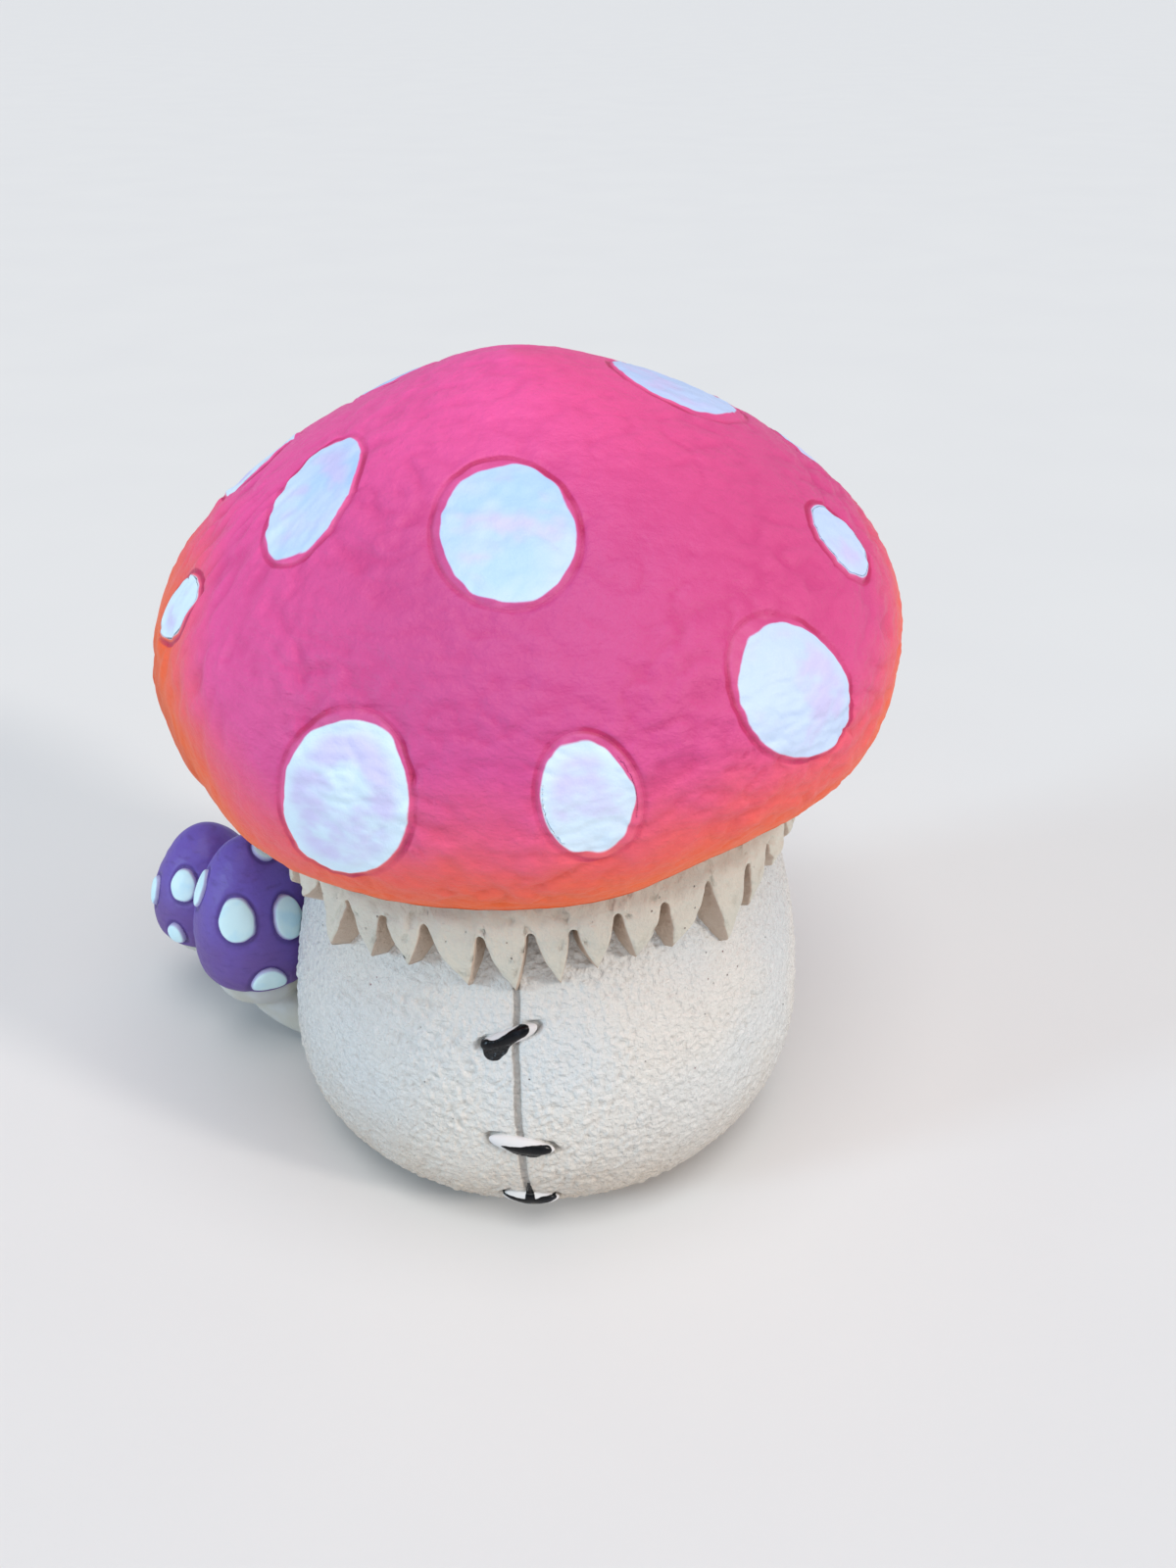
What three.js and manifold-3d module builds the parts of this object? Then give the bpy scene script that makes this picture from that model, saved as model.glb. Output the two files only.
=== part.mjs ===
// Painted mushroom ornament. Millimetres, +Z up.
// The origin is the centre of the flat base. The stitched seam faces -Y.

import * as THREE from "three";
import { mergeVertices, toCreasedNormals } from "three/addons/utils/BufferGeometryUtils.js";
import Module from "manifold-3d";

const wasm = await Module();
wasm.setup();

// Glue gap between neighbouring pieces
const GAP = 0.3;

// Stem: a round belly on a flat base
const BASE_RADIUS = 30;
const BASE_EDGE = 0.8;
const BELLY_RADIUS = 41.8;
const BELLY_HEIGHT = 19;
const SHOULDER_RADIUS = 36;
const SHOULDER_HEIGHT = 56;
const NECK_STEP = 3;
const SPIGOT_RADIUS = 20;
const SPIGOT_LENGTH = 13;
const SPIGOT_EDGE = 1.5;
const NECK_SINK = 8;

// Head: cap and collar lean together on a seat above the shoulder
const SEAT_RISE = 2;
const HEAD_LEAN = 3.5;

// Cap: heights are measured from the seat
const CAP_RADIUS = 54;
const CAP_TOP = 66;
const CAP_WIDEST = 26.3;
const RIM_TUCK = 8;
const RIM_HEIGHT = 7;
const UNDERSIDE_HEIGHT = 8.5;
const LIP_CLEARANCE = 1;
const LIP_DROP = 1.3;

// Collar: a ring round the neck with pointed teeth
const COLLAR_WALL = 5;
const TOOTH_COUNT = 37;
const TOOTH_ROOT = -2.2;
const TOOTH_LENGTH = 7.5;
const TOOTH_FLARE = 1.2;
const TOOTH_THICKNESS = 3.4;
const BAND_HEIGHT = 2;

// Seam and stitches
const SEAM_WIDTH = 1.1;
const SEAM_DEPTH = 0.8;
const STITCH_LENGTH = 10;
const STITCH_WIDTH = 3.4;
const STITCH_THICKNESS = 2.4;
const STITCH_DENT = 0.8;

// Spots: discs in seats, with a ring groove left open round each disc
const SPOT_GROOVE = 0.8;
const SPOT_SEAT = 1.1;
const SPOT_PROUD = 0.25;
const CUT_ABOVE = 2;

// Small mushrooms
const SMALL_RADIUS = 10.6;
const SMALL_TUCK = 1.5;
const SMALL_WIDEST = 6.5;
const SMALL_PEG_RADIUS = 4;
const SMALL_PEG_LENGTH = 6;
const STALK_RADIUS = 4.2;
const STALK_BELLY = 7;
const STALK_FOOT = 5;
const STALK_INSET = 1.6;
const STALK_START = 2;
const SMALL_GROOVE = 0.4;
const SMALL_SPOT_PROUD = 0.5;

// Derived sizes
const NECK_RADIUS = SHOULDER_RADIUS - NECK_STEP;
const SEAT_HEIGHT = SHOULDER_HEIGHT + SEAT_RISE;
const RIM_RADIUS = CAP_RADIUS - RIM_TUCK;
const COLLAR_RADIUS = NECK_RADIUS + COLLAR_WALL;
const ROOT_RADIUS = SHOULDER_RADIUS + TOOTH_THICKNESS;

// Spots and stitches: turn is the angle from the front in degrees. Down is the share of the way
// from the top of a form to its edge, along the surface. Wide and tall are shares of the form's radius.
// Tilt turns an oval towards the left, in degrees.
const CAP_SPOTS = [
  { turn: -46.2, down: 0.371, wide: 0.26, tall: 0.428, tilt: 30 },
  { turn: 4.8, down: 0.396, wide: 0.335, tall: 0.422, tilt: 10 },
  { turn: -62.8, down: 0.612, wide: 0.19, tall: 0.22, tilt: -50 },
  { turn: 72.5, down: 0.568, wide: 0.21, tall: 0.24, tilt: -20 },
  { turn: 45.3, down: 0.701, wide: 0.32, tall: 0.43, tilt: 38 },
  { turn: -18.8, down: 0.77, wide: 0.33, tall: 0.455, tilt: -29 },
  { turn: 13.6, down: 0.768, wide: 0.235, tall: 0.305, tilt: 13 },
  { turn: 104, down: 0.268, wide: 0.39, tall: 0.39, tilt: 0 },
  { turn: -122, down: 0.225, wide: 0.3, tall: 0.3, tilt: 0 },
  { turn: -93, down: 0.429, wide: 0.24, tall: 0.28, tilt: 25 },
  { turn: 107, down: 0.504, wide: 0.22, tall: 0.24, tilt: -15 },
  { turn: 148, down: 0.675, wide: 0.31, tall: 0.38, tilt: 30 },
  { turn: 178, down: 0.397, wide: 0.34, tall: 0.4, tilt: -12 },
  { turn: -152, down: 0.74, wide: 0.31, tall: 0.39, tilt: -30 },
  { turn: -108, down: 0.718, wide: 0.25, tall: 0.29, tilt: 20 },
  { turn: 117, down: 0.815, wide: 0.22, tall: 0.26, tilt: 15 },
];

const FRONT_SPOTS = [
  { turn: -1, down: 0.49, wide: 0.58, tall: 0.75 },
  { turn: 54, down: 0.537, wide: 0.53, tall: 0.75 },
  { turn: 50, down: 0.168, wide: 0.47, tall: 0.53 },
  { turn: 24, down: 0.886, wide: 0.57, tall: 0.43 },
  { turn: -60, down: 0.419, wide: 0.51, tall: 0.66 },
  { turn: 170, down: 0.47, wide: 0.51, tall: 0.61 },
];

const REAR_SPOTS = [
  { turn: -14, down: 0.424, wide: 0.48, tall: 0.58 },
  { turn: -23, down: 0.775, wide: 0.35, tall: 0.38 },
  { turn: -58, down: 0.572, wide: 0.44, tall: 0.58 },
  { turn: -125, down: 0.443, wide: 0.48, tall: 0.58 },
  { turn: 165, down: 0.59, wide: 0.48, tall: 0.58 },
];

const STITCHES = [
  { name: "stitch_top", turn: -1.5, down: 0.295, slant: 24, stretch: 1 },
  { name: "stitch_middle", turn: 1, down: 0.585, slant: -13, stretch: 1.08 },
  { name: "stitch_bottom", turn: 2, down: 0.81, slant: -9, stretch: 0.95 },
];

// The front small cap leans into the belly, and the rear one stands a cap's width further out.
const SMALL_FRONT = {
  name: "front",
  turn: -95,
  reach: BELLY_RADIUS + 0.84 * SMALL_RADIUS,
  height: 16.8,
  radius: SMALL_RADIUS,
  tall: 25.2,
  footTurn: -95,
  spots: FRONT_SPOTS,
};

const SMALL_REAR = {
  name: "rear",
  turn: -104.7,
  reach: BELLY_RADIUS + 2.1 * SMALL_RADIUS,
  height: 14.4,
  radius: 0.98 * SMALL_RADIUS,
  tall: 22.2,
  footTurn: -114,
  spots: REAR_SPOTS,
};

// Paint of each piece
const paint = (color, roughness) => new THREE.MeshStandardMaterial({ color, roughness, metalness: 0 });
const CAP_PAINT = paint(0xdb5598, 0.55);
const SPOT_PAINT = paint(0xe6ebfb, 0.6);
const STEM_PAINT = paint(0xe4e0d8, 0.5);
const COLLAR_PAINT = paint(0xd2c5b2, 0.6);
const THREAD_PAINT = paint(0x15161a, 0.4);
const PURPLE_PAINT = paint(0x5f4a9c, 0.5);
const STALK_PAINT = paint(0xcfd0c8, 0.6);

const rad = THREE.MathUtils.degToRad;
const flat = (x, y) => new THREE.Vector2(x, y);

// Outlines run from the top of a form down to its edge, as radius and height.
function outlineOf(...curves) {
  const path = new THREE.CurvePath();
  curves.forEach((points) => path.add(new THREE.CubicBezierCurve(...points)));
  return path;
}

const stemOutline = outlineOf(
  [
    flat(SHOULDER_RADIUS, SHOULDER_HEIGHT),
    flat(SHOULDER_RADIUS + 2, SHOULDER_HEIGHT - 6),
    flat(BELLY_RADIUS, (BELLY_HEIGHT + SHOULDER_HEIGHT) / 2),
    flat(BELLY_RADIUS, BELLY_HEIGHT),
  ],
  [
    flat(BELLY_RADIUS, BELLY_HEIGHT),
    flat(BELLY_RADIUS, 0.48 * BELLY_HEIGHT),
    flat(BASE_RADIUS + 0.58 * (BELLY_RADIUS - BASE_RADIUS), BASE_EDGE + 0.08 * BELLY_HEIGHT),
    flat(BASE_RADIUS, BASE_EDGE),
  ],
);

const capOutline = outlineOf(
  [
    flat(0, CAP_TOP),
    flat(0.24 * CAP_RADIUS, CAP_TOP),
    flat(CAP_RADIUS, CAP_WIDEST + 0.55 * (CAP_TOP - CAP_WIDEST)),
    flat(CAP_RADIUS, CAP_WIDEST),
  ],
  [
    flat(CAP_RADIUS, CAP_WIDEST),
    flat(CAP_RADIUS, CAP_WIDEST - 0.66 * (CAP_WIDEST - RIM_HEIGHT)),
    flat(RIM_RADIUS + 0.62 * RIM_TUCK, RIM_HEIGHT + 0.25 * (CAP_WIDEST - RIM_HEIGHT)),
    flat(RIM_RADIUS, RIM_HEIGHT),
  ],
);

function smallOutline(radius, tall) {
  return outlineOf(
    [
      flat(0, tall),
      flat(0.52 * radius, tall),
      flat(radius, SMALL_WIDEST + 0.4 * (tall - SMALL_WIDEST)),
      flat(radius, SMALL_WIDEST),
    ],
    [
      flat(radius, SMALL_WIDEST),
      flat(radius, 0.45 * SMALL_WIDEST),
      flat(radius - 0.5 * SMALL_TUCK, 0.12 * SMALL_WIDEST),
      flat(radius - SMALL_TUCK, 0),
    ],
  );
}

// A point on the turned form of an outline, lifted off its surface
function surfacePoint(outline, down, turn, lift) {
  const share = THREE.MathUtils.clamp(down, 0, 1);
  const point = outline.getPointAt(share);
  const tangent = outline.getTangentAt(share);
  const radius = point.x - tangent.y * lift;
  const height = point.y + tangent.x * lift;
  return new THREE.Vector3(radius * Math.sin(turn), -radius * Math.cos(turn), height);
}

// Points of an outline from its edge up to its top, lifted off the surface
function risingPoints(outline, steps, lift) {
  const points = [];
  for (let i = steps; i >= 0; i -= 1) {
    const p = surfacePoint(outline, i / steps, 0, lift);
    points.push(flat(Math.max(0, -p.y), p.z));
  }
  return points;
}

function turned(points, sides) {
  const geometry = new THREE.LatheGeometry(points, sides);
  geometry.rotateX(Math.PI / 2);
  return geometry;
}

// A closed geometry, placed by a matrix, as a solid for joining and cutting
function solidOf(geometry, matrix = new THREE.Matrix4()) {
  const bare = geometry.clone();
  bare.deleteAttribute("normal");
  bare.deleteAttribute("uv");
  bare.applyMatrix4(matrix);
  const merged = mergeVertices(bare, 1e-4);
  const vertProperties = new Float32Array(merged.attributes.position.array);
  const triVerts = new Uint32Array(merged.index.array);
  return new wasm.Manifold(new wasm.Mesh({ numProp: 3, vertProperties, triVerts }));
}

function meshOf(solid, name, material) {
  const { vertProperties, triVerts } = solid.getMesh();
  const geometry = new THREE.BufferGeometry();
  geometry.setAttribute("position", new THREE.BufferAttribute(vertProperties, 3));
  geometry.setIndex(new THREE.BufferAttribute(triVerts, 1));
  const mesh = new THREE.Mesh(toCreasedNormals(geometry, rad(40)), material);
  mesh.name = name;
  return mesh;
}

// Frame on a form: X to the right, Y up the surface, Z straight out of it
function surfaceFrame(outline, down, turn) {
  const origin = surfacePoint(outline, down, turn, 0);
  const out = surfacePoint(outline, down, turn, 1).sub(origin);
  const right = new THREE.Vector3(Math.cos(turn), Math.sin(turn), 0);
  const up = out.clone().cross(right);
  return new THREE.Matrix4().makeBasis(right, up, out).setPosition(origin);
}

// The way down an outline to its point nearest a radius and height
function nearestDown(outline, radius, height) {
  const target = flat(radius, height);
  const away = (down) => outline.getPointAt(down).distanceTo(target);
  let low = 0;
  let high = 1;
  for (let i = 0; i < 24; i += 1) {
    const third = (high - low) / 3;
    if (away(low + third) < away(high - third)) {
      high -= third;
    } else {
      low += third;
    }
  }
  return (low + high) / 2;
}

// A round pad that follows the surface of a form, between two lifts
function roundel(form, spot, grow, low, high) {
  const { outline, radius, sides } = form;
  const tilt = new THREE.Matrix4().makeRotationZ(rad(spot.tilt ?? 0));
  const frame = surfaceFrame(outline, spot.down, rad(spot.turn)).multiply(tilt);
  const corner = (share, angle, lift) => {
    const across = share * ((spot.wide * radius) / 2 + grow) * Math.cos(angle);
    const along = share * ((spot.tall * radius) / 2 + grow) * Math.sin(angle);
    const q = new THREE.Vector3(across, along, 0).applyMatrix4(frame);
    const down = nearestDown(outline, Math.hypot(q.x, q.y), q.z);
    return surfacePoint(outline, down, Math.atan2(q.x, -q.y), lift);
  };
  const points = [];
  for (const lift of [low, high]) {
    points.push(corner(0, 0, lift));
    for (const share of [0.55, 1]) {
      for (let i = 0; i < sides; i += 1) {
        points.push(corner(share, (2 * Math.PI * i) / sides, lift));
      }
    }
  }
  const index = [];
  const quad = (a, b, c, d) => index.push(a, b, c, a, c, d);
  const face = 1 + 2 * sides;
  for (let i = 0; i < sides; i += 1) {
    const next = (i + 1) % sides;
    const inner = [1 + i, 1 + next];
    const outer = [1 + sides + i, 1 + sides + next];
    index.push(face, face + inner[0], face + inner[1]);
    quad(face + inner[0], face + outer[0], face + outer[1], face + inner[1]);
    index.push(0, inner[1], inner[0]);
    quad(inner[1], outer[1], outer[0], inner[0]);
    quad(outer[0], outer[1], face + outer[1], face + outer[0]);
  }
  const geometry = new THREE.BufferGeometry().setFromPoints(points);
  geometry.setIndex(index);
  return geometry;
}

// Cuts the seat of every spot into a solid and adds the discs. Discs stay clear of the room of a neighbour.
function spotted(group, solid, form, room) {
  let cut = solid;
  form.spots.forEach((spot, i) => {
    const seat = solidOf(roundel(form, spot, form.groove, -SPOT_SEAT, CUT_ABOVE));
    const disc = solidOf(roundel(form, spot, 0, GAP - SPOT_SEAT, form.proud));
    const number = String(i + 1).padStart(2, "0");
    cut = cut.subtract(seat);
    group.add(meshOf(room ? disc.subtract(room) : disc, `${form.label}_${number}`, SPOT_PAINT));
  });
  return cut;
}

const ornament = new THREE.Group();
ornament.name = "mushroom_ornament";

const head = new THREE.Group();
head.name = "head";
head.position.z = SEAT_HEIGHT;
head.rotation.y = -rad(HEAD_LEAN);
head.updateMatrixWorld(true);
ornament.add(head);
const intoHead = head.matrixWorld.clone().invert();

// Stem: belly with a leaning neck and spigot on top. Lift widens it into the room it takes up.
function stemForms(lift) {
  const belly = [
    flat(0, -lift),
    flat(BASE_RADIUS - BASE_EDGE, -lift),
    ...risingPoints(stemOutline, 13, lift),
    flat(0, SHOULDER_HEIGHT + lift),
  ];
  const spigotTop = UNDERSIDE_HEIGHT - GAP + SPIGOT_LENGTH + lift;
  const neck = [
    flat(0, -NECK_SINK),
    flat(NECK_RADIUS + lift, -NECK_SINK),
    flat(NECK_RADIUS + lift, UNDERSIDE_HEIGHT - GAP + lift),
    flat(SPIGOT_RADIUS + lift, UNDERSIDE_HEIGHT - GAP + lift),
    flat(SPIGOT_RADIUS + lift, spigotTop - SPIGOT_EDGE),
    flat(SPIGOT_RADIUS + lift - SPIGOT_EDGE, spigotTop),
    flat(0, spigotTop),
  ];
  return [turned(belly, 42), turned(neck, 20)];
}

function stemSolid(lift, into) {
  const [belly, neck] = stemForms(lift);
  const placedNeck = into.clone().multiply(head.matrixWorld);
  return solidOf(belly, into).add(solidOf(neck, placedNeck));
}

// Seam: a narrow channel that follows the front of the stem from the shoulder to the base
function seamChannel() {
  const bottom = risingPoints(stemOutline, 12, -SEAM_DEPTH);
  const above = risingPoints(stemOutline, 12, CUT_ABOVE).reverse();
  const shape = new THREE.Shape([...bottom, ...above]);
  const geometry = new THREE.ExtrudeGeometry(shape, { depth: SEAM_WIDTH, bevelEnabled: false });
  geometry.translate(0, 0, -SEAM_WIDTH / 2);
  const front = new THREE.Matrix4().makeBasis(
    new THREE.Vector3(0, -1, 0),
    new THREE.Vector3(0, 0, 1),
    new THREE.Vector3(-1, 0, 0),
  );
  return solidOf(geometry, front);
}

// A stitch is a spindle that lies across the seam, half sunk in the stem.
function stitchSolid(stitch, side, end) {
  const frame = surfaceFrame(stemOutline, stitch.down, rad(stitch.turn));
  const slant = new THREE.Matrix4().makeRotationZ(rad(stitch.slant));
  const spindle = new THREE.SphereGeometry(1, 10, 10);
  spindle.rotateZ(Math.PI / 2);
  const length = stitch.stretch * STITCH_LENGTH;
  spindle.scale(length / 2 + end, STITCH_WIDTH / 2 + side, STITCH_THICKNESS / 2 + side);
  return solidOf(spindle, frame.multiply(slant));
}

let stem = stemSolid(0, new THREE.Matrix4()).subtract(seamChannel());
STITCHES.forEach((stitch) => {
  stem = stem.subtract(stitchSolid(stitch, GAP, STITCH_DENT));
  ornament.add(meshOf(stitchSolid(stitch, 0, 0), stitch.name, THREAD_PAINT));
});
ornament.add(meshOf(stem, "stem", STEM_PAINT));

// Cap: a bell with a socket for the spigot. A soft lip hangs round the collar.
function capForm() {
  const socketTop = UNDERSIDE_HEIGHT + SPIGOT_LENGTH + GAP;
  const socketRadius = SPIGOT_RADIUS + GAP;
  const lip = new THREE.QuadraticBezierCurve(
    flat(COLLAR_RADIUS + LIP_CLEARANCE, UNDERSIDE_HEIGHT),
    flat(RIM_RADIUS - LIP_DROP, RIM_HEIGHT - LIP_DROP),
    flat(RIM_RADIUS, RIM_HEIGHT),
  );
  const points = [
    flat(0, socketTop),
    flat(socketRadius, socketTop),
    flat(socketRadius, UNDERSIDE_HEIGHT),
    ...lip.getPoints(4).slice(0, -1),
    ...risingPoints(capOutline, 15, 0),
  ];
  return solidOf(turned(points, 44));
}

const capSpots = {
  label: "cap_spot",
  outline: capOutline,
  radius: CAP_RADIUS,
  spots: CAP_SPOTS,
  groove: SPOT_GROOVE,
  proud: SPOT_PROUD,
  sides: 14,
};
const cap = spotted(head, capForm(), capSpots, null);
head.add(meshOf(cap, "cap", CAP_PAINT));

// Collar: hand-cut teeth of uneven length hang from a plain band and lie on the stem.
function collarForm() {
  const shares = [0, 0.22, 0.5, 0.78];
  const inner = NECK_RADIUS - NECK_STEP;
  const points = [];
  for (let i = 0; i < TOOTH_COUNT; i += 1) {
    const length = TOOTH_LENGTH * (1 + 0.12 * Math.cos(0.9 * i) + 0.08 * Math.sin(2.3 * i));
    for (const share of shares) {
      const angle = ((i + share - 0.5) / TOOTH_COUNT) * 2 * Math.PI;
      const drop = length * (1 - Math.abs(2 * share - 1)) ** 0.62;
      const edge = ROOT_RADIUS + TOOTH_FLARE * (drop / TOOTH_LENGTH);
      const low = TOOTH_ROOT - drop;
      const section = [
        [inner, UNDERSIDE_HEIGHT - GAP],
        [inner, low],
        [edge, low],
        [ROOT_RADIUS, TOOTH_ROOT + BAND_HEIGHT],
        [COLLAR_RADIUS, UNDERSIDE_HEIGHT - GAP],
      ];
      for (const [radius, height] of section) {
        points.push(new THREE.Vector3(radius * Math.sin(angle), -radius * Math.cos(angle), height));
      }
    }
  }
  const columns = TOOTH_COUNT * shares.length;
  const index = [];
  for (let c = 0; c < columns; c += 1) {
    const next = (c + 1) % columns;
    for (let k = 0; k < 5; k += 1) {
      const below = c * 5 + k;
      const above = c * 5 + ((k + 1) % 5);
      const belowNext = next * 5 + k;
      const aboveNext = next * 5 + ((k + 1) % 5);
      index.push(below, belowNext, aboveNext, below, aboveNext, above);
    }
  }
  const geometry = new THREE.BufferGeometry().setFromPoints(points);
  geometry.setIndex(index);
  return solidOf(geometry);
}

const collar = collarForm().subtract(stemSolid(GAP, intoHead));
head.add(meshOf(collar, "frill_collar", COLLAR_PAINT));

// Small mushrooms: a bell cap on a peg, over a pale belly and a bent stalk glued to the stem
function smallCapForm(outline) {
  const points = [
    flat(0, SMALL_PEG_LENGTH + GAP),
    flat(SMALL_PEG_RADIUS + GAP, SMALL_PEG_LENGTH + GAP),
    flat(SMALL_PEG_RADIUS + GAP, 0),
    ...risingPoints(outline, 9, 0),
  ];
  return solidOf(turned(points, 20));
}

const bellyRadius = (small) => small.radius - SMALL_TUCK - STALK_INSET;

function stalkForm(small, position) {
  const wide = bellyRadius(small);
  const belly = [];
  for (let i = 0; i <= 5; i += 1) {
    const angle = (Math.PI / 2) * (1 - i / 5);
    belly.push(flat(wide * Math.cos(angle), -GAP - (STALK_BELLY - GAP) * Math.sin(angle)));
  }
  belly[0].x = 0;
  belly.push(flat(SMALL_PEG_RADIUS, -GAP));
  belly.push(flat(SMALL_PEG_RADIUS, SMALL_PEG_LENGTH));
  belly.push(flat(0, SMALL_PEG_LENGTH));
  const turn = rad(small.footTurn);
  const foot = new THREE.Vector3(BASE_RADIUS * Math.sin(turn), -BASE_RADIUS * Math.cos(turn), STALK_FOOT);
  const start = new THREE.Vector3(0, 0, -STALK_START);
  const end = foot.sub(position);
  const bend = start.clone().lerp(end, 0.1);
  bend.z = end.z;
  const way = new THREE.QuadraticBezierCurve3(start, bend, end);
  const ring = new THREE.Shape().absarc(0, 0, STALK_RADIUS, 0, 2 * Math.PI);
  const tube = { steps: 10, curveSegments: 6, bevelEnabled: false, extrudePath: way };
  return solidOf(turned(belly, 20)).add(solidOf(new THREE.ExtrudeGeometry(ring, tube)));
}

function smallMushroom(small, neighbour) {
  const turn = rad(small.turn);
  const group = new THREE.Group();
  group.name = `small_${small.name}`;
  group.position.set(small.reach * Math.sin(turn), -small.reach * Math.cos(turn), small.height);
  group.updateMatrixWorld(true);
  const into = group.matrixWorld.clone().invert();
  const outline = smallOutline(small.radius, small.tall);
  const room = stemSolid(GAP, into);
  let form = smallCapForm(outline).subtract(room);
  if (neighbour) {
    form = form.subtract(solidOf(neighbour.space, into.clone().multiply(neighbour.group.matrixWorld)));
  }
  const spots = {
    label: `${group.name}_spot`,
    outline,
    radius: small.radius,
    spots: small.spots,
    groove: SMALL_GROOVE,
    proud: SMALL_SPOT_PROUD,
    sides: 9,
  };
  const purple = spotted(group, form, spots, room);
  group.add(meshOf(purple, `small_cap_${small.name}`, PURPLE_PAINT));
  const stalk = stalkForm(small, group.position).subtract(room);
  group.add(meshOf(stalk, `small_stalk_${small.name}`, STALK_PAINT));
  ornament.add(group);
  const skirt = bellyRadius(small) + GAP;
  const space = [
    flat(0, -STALK_BELLY - GAP),
    flat(skirt, -STALK_BELLY - GAP),
    flat(skirt, -GAP),
    ...risingPoints(outline, 9, GAP).slice(0, -1),
    flat(0, small.tall + GAP),
  ];
  return { group, space: turned(space, 20) };
}

const frontSmall = smallMushroom(SMALL_FRONT, null);
smallMushroom(SMALL_REAR, frontSmall);

export default ornament;
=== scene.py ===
# %% [markdown]
# # A painted mushroom ornament
#
# The real ornament is cast resin, finished by hand: a stippled cream belly, a notched frill, a pink cap
# with white spots set in ring grooves, a stitched seam, and two small purple mushrooms at its side.
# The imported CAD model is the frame. Each step below makes one finer piece over a CAD node, in the same
# place, and gives it a paint of its own. Lengths are millimetres until a mesh is made.

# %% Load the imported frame
import math
from collections import namedtuple
from itertools import product

import bpy
import numpy as np
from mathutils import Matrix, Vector
from mathutils.geometry import delaunay_2d_cdt


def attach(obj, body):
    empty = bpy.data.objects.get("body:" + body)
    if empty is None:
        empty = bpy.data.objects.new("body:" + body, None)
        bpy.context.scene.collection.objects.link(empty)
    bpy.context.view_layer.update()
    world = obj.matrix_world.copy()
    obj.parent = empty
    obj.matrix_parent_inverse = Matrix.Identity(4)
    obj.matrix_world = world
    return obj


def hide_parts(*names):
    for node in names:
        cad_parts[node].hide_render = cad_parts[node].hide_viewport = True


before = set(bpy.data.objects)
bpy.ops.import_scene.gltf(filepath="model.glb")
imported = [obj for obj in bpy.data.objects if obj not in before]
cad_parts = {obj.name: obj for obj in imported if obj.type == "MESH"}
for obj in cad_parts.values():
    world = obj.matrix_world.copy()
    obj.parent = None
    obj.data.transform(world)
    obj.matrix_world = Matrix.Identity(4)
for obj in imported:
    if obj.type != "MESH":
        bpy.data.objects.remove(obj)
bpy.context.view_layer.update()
MM = 0.001

# %% [markdown]
# ## Camera
#
# The ornament was seen from a little above, close by. A camera could be aimed with a constraint, but its
# place and two angles are all that is needed, and they stay readable. The lens is worked out from a focal
# length in pixels on a picture 1600 pixels tall.

# %% Camera
FOCAL_PIXELS = 1500
PICTURE_HEIGHT = 1600
SENSOR = 36
NEAREST = 0.01
CAMERA_PLACE = (0.0211, -0.1999, 0.1705)
LOOK_DOWN = 29.52
LOOK_ASIDE = 4

lens = bpy.data.cameras.new("front_camera")
lens.sensor_width = SENSOR
lens.lens = SENSOR * FOCAL_PIXELS / PICTURE_HEIGHT
lens.clip_start = NEAREST
camera = bpy.data.objects.new("front_camera", lens)
camera.location = CAMERA_PLACE
camera.rotation_euler = (math.radians(90 - LOOK_DOWN), 0, math.radians(LOOK_ASIDE))
bpy.context.scene.collection.objects.link(camera)
bpy.context.scene.camera = camera
bpy.context.scene.view_settings.view_transform = "Standard"
print("camera lens", round(lens.lens, 2), "mm")

# %% [markdown]
# ## Shader sums
#
# Paint is described by sums such as `1 - mask`. Nodes could be placed and linked one by one, which is long
# to read. A small class wraps a socket instead, so that Python's operators add the Math nodes, and one
# method adds any other node: its settings first, then the values or links of its sockets.


# %% Wires
class Wire:
    """The value that comes out of one socket."""

    def __init__(self, socket):
        self.socket = socket

    def node(self, kind, settings, values, output=0):
        tree = self.socket.id_data
        made = tree.nodes.new(kind)
        for name, value in settings.items():
            setattr(made, name, value)
        for name, value in values.items():
            if isinstance(value, Wire):
                tree.links.new(value.socket, made.inputs[name])
            else:
                made.inputs[name].default_value = value
        return Wire(made.outputs[output]) if len(made.outputs) else None

    def sum(self, operation, first, second):
        return self.node("ShaderNodeMath", {"operation": operation}, {0: first, 1: second})

    def __add__(self, other):
        return self.sum("ADD", self, other)

    def __radd__(self, other):
        return self.sum("ADD", other, self)

    def __sub__(self, other):
        return self.sum("SUBTRACT", self, other)

    def __rsub__(self, other):
        return self.sum("SUBTRACT", other, self)

    def __mul__(self, other):
        return self.sum("MULTIPLY", self, other)

    def __rmul__(self, other):
        return self.sum("MULTIPLY", other, self)


print("wires add their own Math nodes")


# %% Words for paint
def tone(red, green, blue):
    """A colour written from 0 to 255, as the linear colour that shaders take."""
    shares = [value / 255 for value in (red, green, blue)]
    return (*[s / 12.92 if s <= 0.04045 else ((s + 0.055) / 1.055) ** 2.4 for s in shares], 1.0)


def kept(place, name):
    """A value that the mesh keeps at its points."""
    return place.node("ShaderNodeAttribute", {"attribute_name": name}, {}, "Fac")


def ease(value, low, high):
    """0 below low, 1 above high, and a soft step between."""
    soft = {"interpolation_type": "SMOOTHSTEP"}
    return value.node("ShaderNodeMapRange", soft, {"Value": value, "From Min": low, "From Max": high})


def mix(share, first, second):
    """The first colour, with a share of the second."""
    return share.node("ShaderNodeMix", {"data_type": "RGBA"}, {0: share, 6: first, 7: second}, 2)


def stretch(place, x, y, z):
    """A place where noise comes out narrower along each axis, by these factors."""
    return place.node("ShaderNodeVectorMath", {"operation": "MULTIPLY"}, {0: place, 1: (x, y, z)})


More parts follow.
